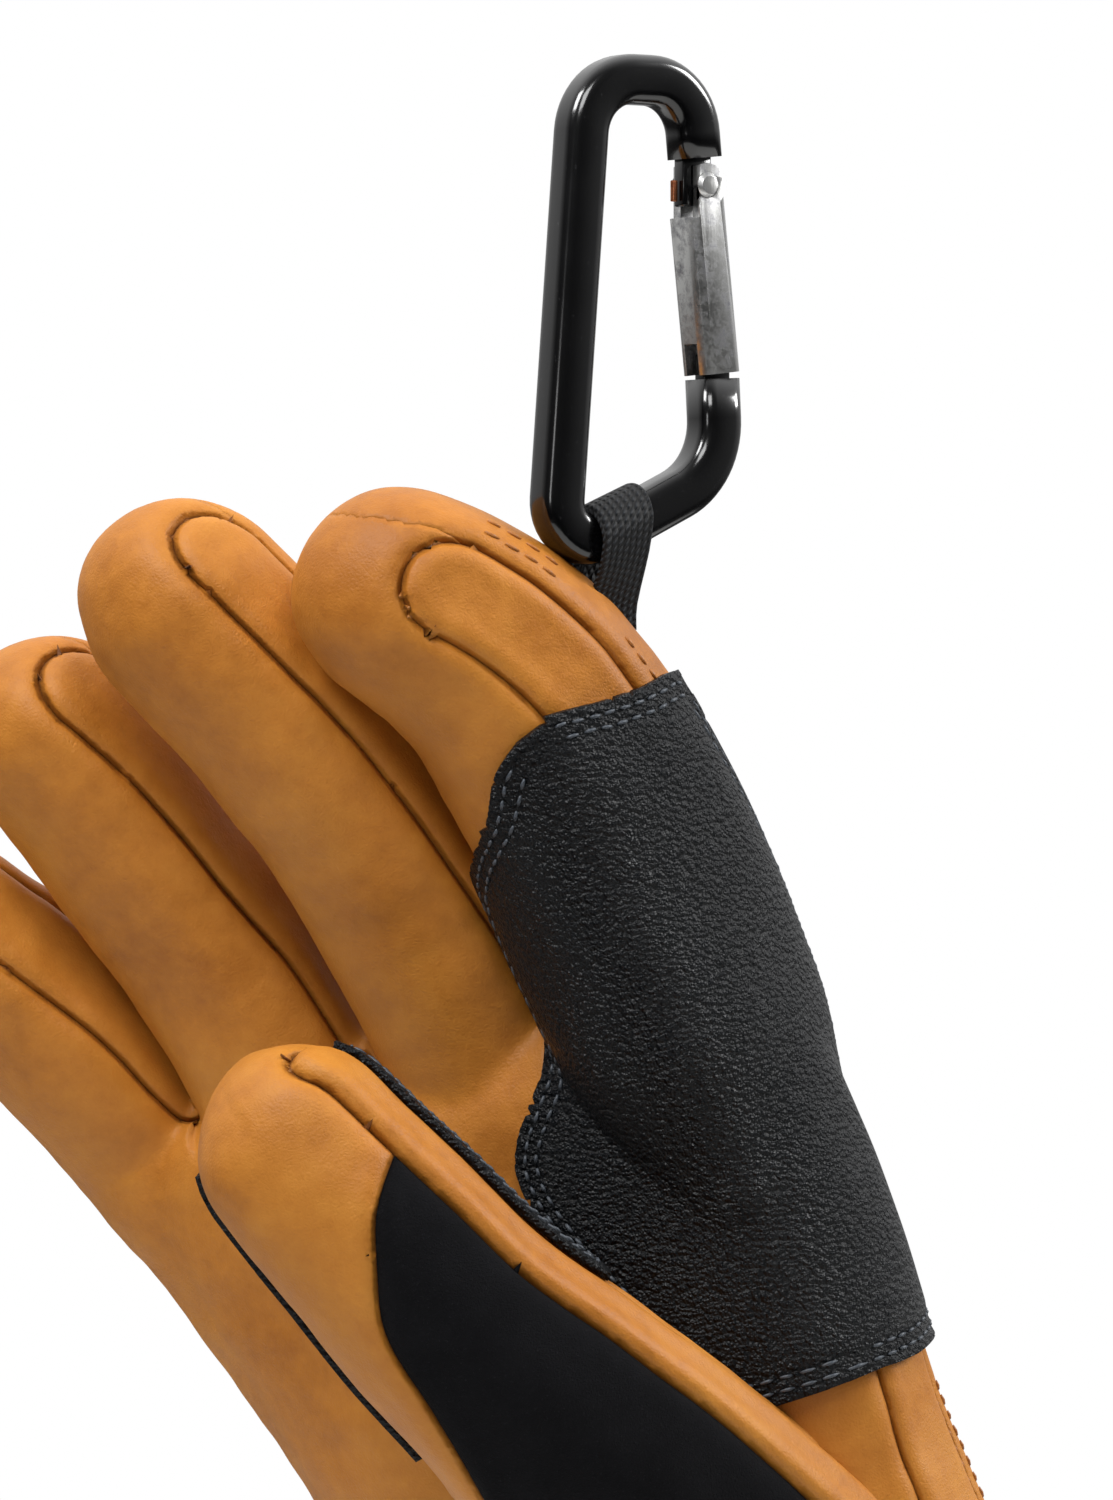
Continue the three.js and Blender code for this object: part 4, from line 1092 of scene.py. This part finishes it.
def bar_route(steps=14):
    ends = [(*NOSE, 0), *CARABINER_CORNERS, (RIVET[0], RIVET[1] + SHOULDER, 0)]
    route = [NOSE]
    for before, corner, after in zip(ends[:-2], ends[1:-1], ends[2:]):
        here = Vector(corner[:2])
        back = (Vector(before[:2]) - here).normalized()
        on = (Vector(after[:2]) - here).normalized()
        half = back.angle(on) / 2
        centre = here + (back + on).normalized() * (corner[2] / math.sin(half))
        start = here + back * (corner[2] / math.tan(half)) - centre
        end = here + on * (corner[2] / math.tan(half)) - centre
        sweep_angle = start.angle_signed(end)
        for s in range(steps + 1):
            turn = -sweep_angle * s / steps
            route.append((centre.x + start.x * math.cos(turn) - start.y * math.sin(turn),
                          centre.y + start.x * math.sin(turn) + start.y * math.cos(turn)))
    route.append((RIVET[0], RIVET[1] + SHOULDER))
    return route


# Polished black anodised aluminium: sharp highlights, faint smears and a few specks of dust.
def gloss_black():
    material, tree, place = new_material("gloss_black_anodised_bar")
    dust = add_node(tree, "TexNoise", {"Scale": cells(0.667), "Detail": 2.0}, {"Vector": place})
    speck = add_node(tree, "MapRange", {"From Min": 0.7, "From Max": 0.78, "To Max": 0.5}, {"Value": dust})
    colour = add_node(tree, "MixRGB", {"Color1": srgb("#050506"), "Color2": srgb("#3A3A3C")},
                      {"Fac": speck})
    smear = add_node(tree, "TexNoise", {"Scale": cells(11.1), "Detail": 3.0}, {"Vector": place})
    rough = add_node(tree, "MapRange", {"To Min": 0.1, "To Max": 0.24}, {"Value": smear})
    finish_material(tree, {"Specular IOR Level": 0.6, "Coat Weight": 0.3, "Coat Roughness": 0.06},
                    {"Base Color": colour, "Roughness": rough})
    return material


# Rolled metal brushed lengthwise and worn in blotches, which dull its shine.
def worn_metal(name, base, dull):
    material, tree, place = new_material(name)
    long_way = add_node(tree, "Mapping", {"Scale": (1.0, 1.0, 0.12)}, {"Vector": place})
    brush = add_node(tree, "TexNoise", {"Scale": cells(0.385), "Detail": 4.0}, {"Vector": long_way})
    blotch = add_node(tree, "TexNoise", {"Scale": cells(2.38), "Detail": 6.0, "Roughness": 0.75},
                      {"Vector": place})
    wear = add_node(tree, "MapRange", {"From Min": 0.45, "From Max": 0.65}, {"Value": blotch})
    colour = add_node(tree, "MixRGB", {"Color1": srgb(base), "Color2": srgb(dull)}, {"Fac": wear})
    rough = add_node(tree, "MapRange", {"To Min": 0.3, "To Max": 0.6}, {"Value": wear})
    bump = add_node(tree, "Bump", {"Strength": 0.2, "Distance": 0.0001}, {"Height": brush})
    finish_material(tree, {"Metallic": 1.0}, {"Base Color": colour, "Roughness": rough, "Normal": bump})
    return material


def add_plate(bm, low, high, thick, bevel=0.35):
    """A small plate in the carabiner's plane with softened edges."""
    made = bmesh.ops.create_cube(bm, size=1)["verts"]
    for vert in made:
        spot = ((low[0] + high[0]) / 2 + vert.co.x * (high[0] - low[0]),
                (low[1] + high[1]) / 2 + vert.co.y * (high[1] - low[1]), vert.co.z * thick)
        vert.co = place_carabiner(spot)
    edges = list({edge for vert in made for edge in vert.link_edges})
    bmesh.ops.bevel(bm, geom=edges, offset=bevel * MM, offset_type="OFFSET", segments=2, profile=0.5,
                    affect="EDGES", material=-1)


bm = sweep(bar_route(), round_section(STOCK_WIDE, STOCK_THICK, BAR_ROUND), place_carabiner)
add_plate(bm, (RIVET[0] - TANG["inner"], RIVET[1] - TANG["down"]),
          (RIVET[0] + TANG["outer"], RIVET[1] + SHOULDER + 0.5), TANG["thick"])
add_plate(bm, (NOSE[0] - TONGUE["wide"] / 2, NOSE[1] - 0.5),
          (NOSE[0] + TONGUE["wide"] / 2, NOSE[1] + TONGUE["up"]), TONGUE["thick"])
bmesh.ops.recalc_face_normals(bm, faces=bm.faces)
fit(new_mesh("carabiner_bar", bm), gloss_black(), "gloss_black", nodes=["carabiner_body"])


def soften(node, name, material, body, slot, bevel):
    """A copy of a hard node with its corners joined and its edges softened."""
    bm = net_of(bpy.data.objects[node].data)
    bmesh.ops.remove_doubles(bm, verts=bm.verts, dist=1e-6)
    bmesh.ops.dissolve_limit(bm, angle_limit=math.radians(3), verts=bm.verts, edges=bm.edges)
    piece = fit(new_mesh(name, bm), material, slot, body, [node])
    modifier = piece.modifiers.new("soft_edges", "BEVEL")
    modifier.width = bevel * MM
    modifier.segments = 2
    modifier.limit_method = "ANGLE"
    modifier.angle_limit = math.radians(35)
    modifier.harden_normals = True


steel = worn_metal("worn_steel_sheet", "#C8C8C6", "#86868A")
copper = worn_metal("copper_plated_wire", "#C07A55", "#8A5238")
soften("carabiner_gate", "gate_sheet", steel, "gate", "gate_steel", 0.35)
soften("gate_rivet", "rivet_pin", steel, "glove", "gate_steel", 0.15)
soften("gate_spring", "spring_wire", copper, "glove", "copper_wire", 0.15)
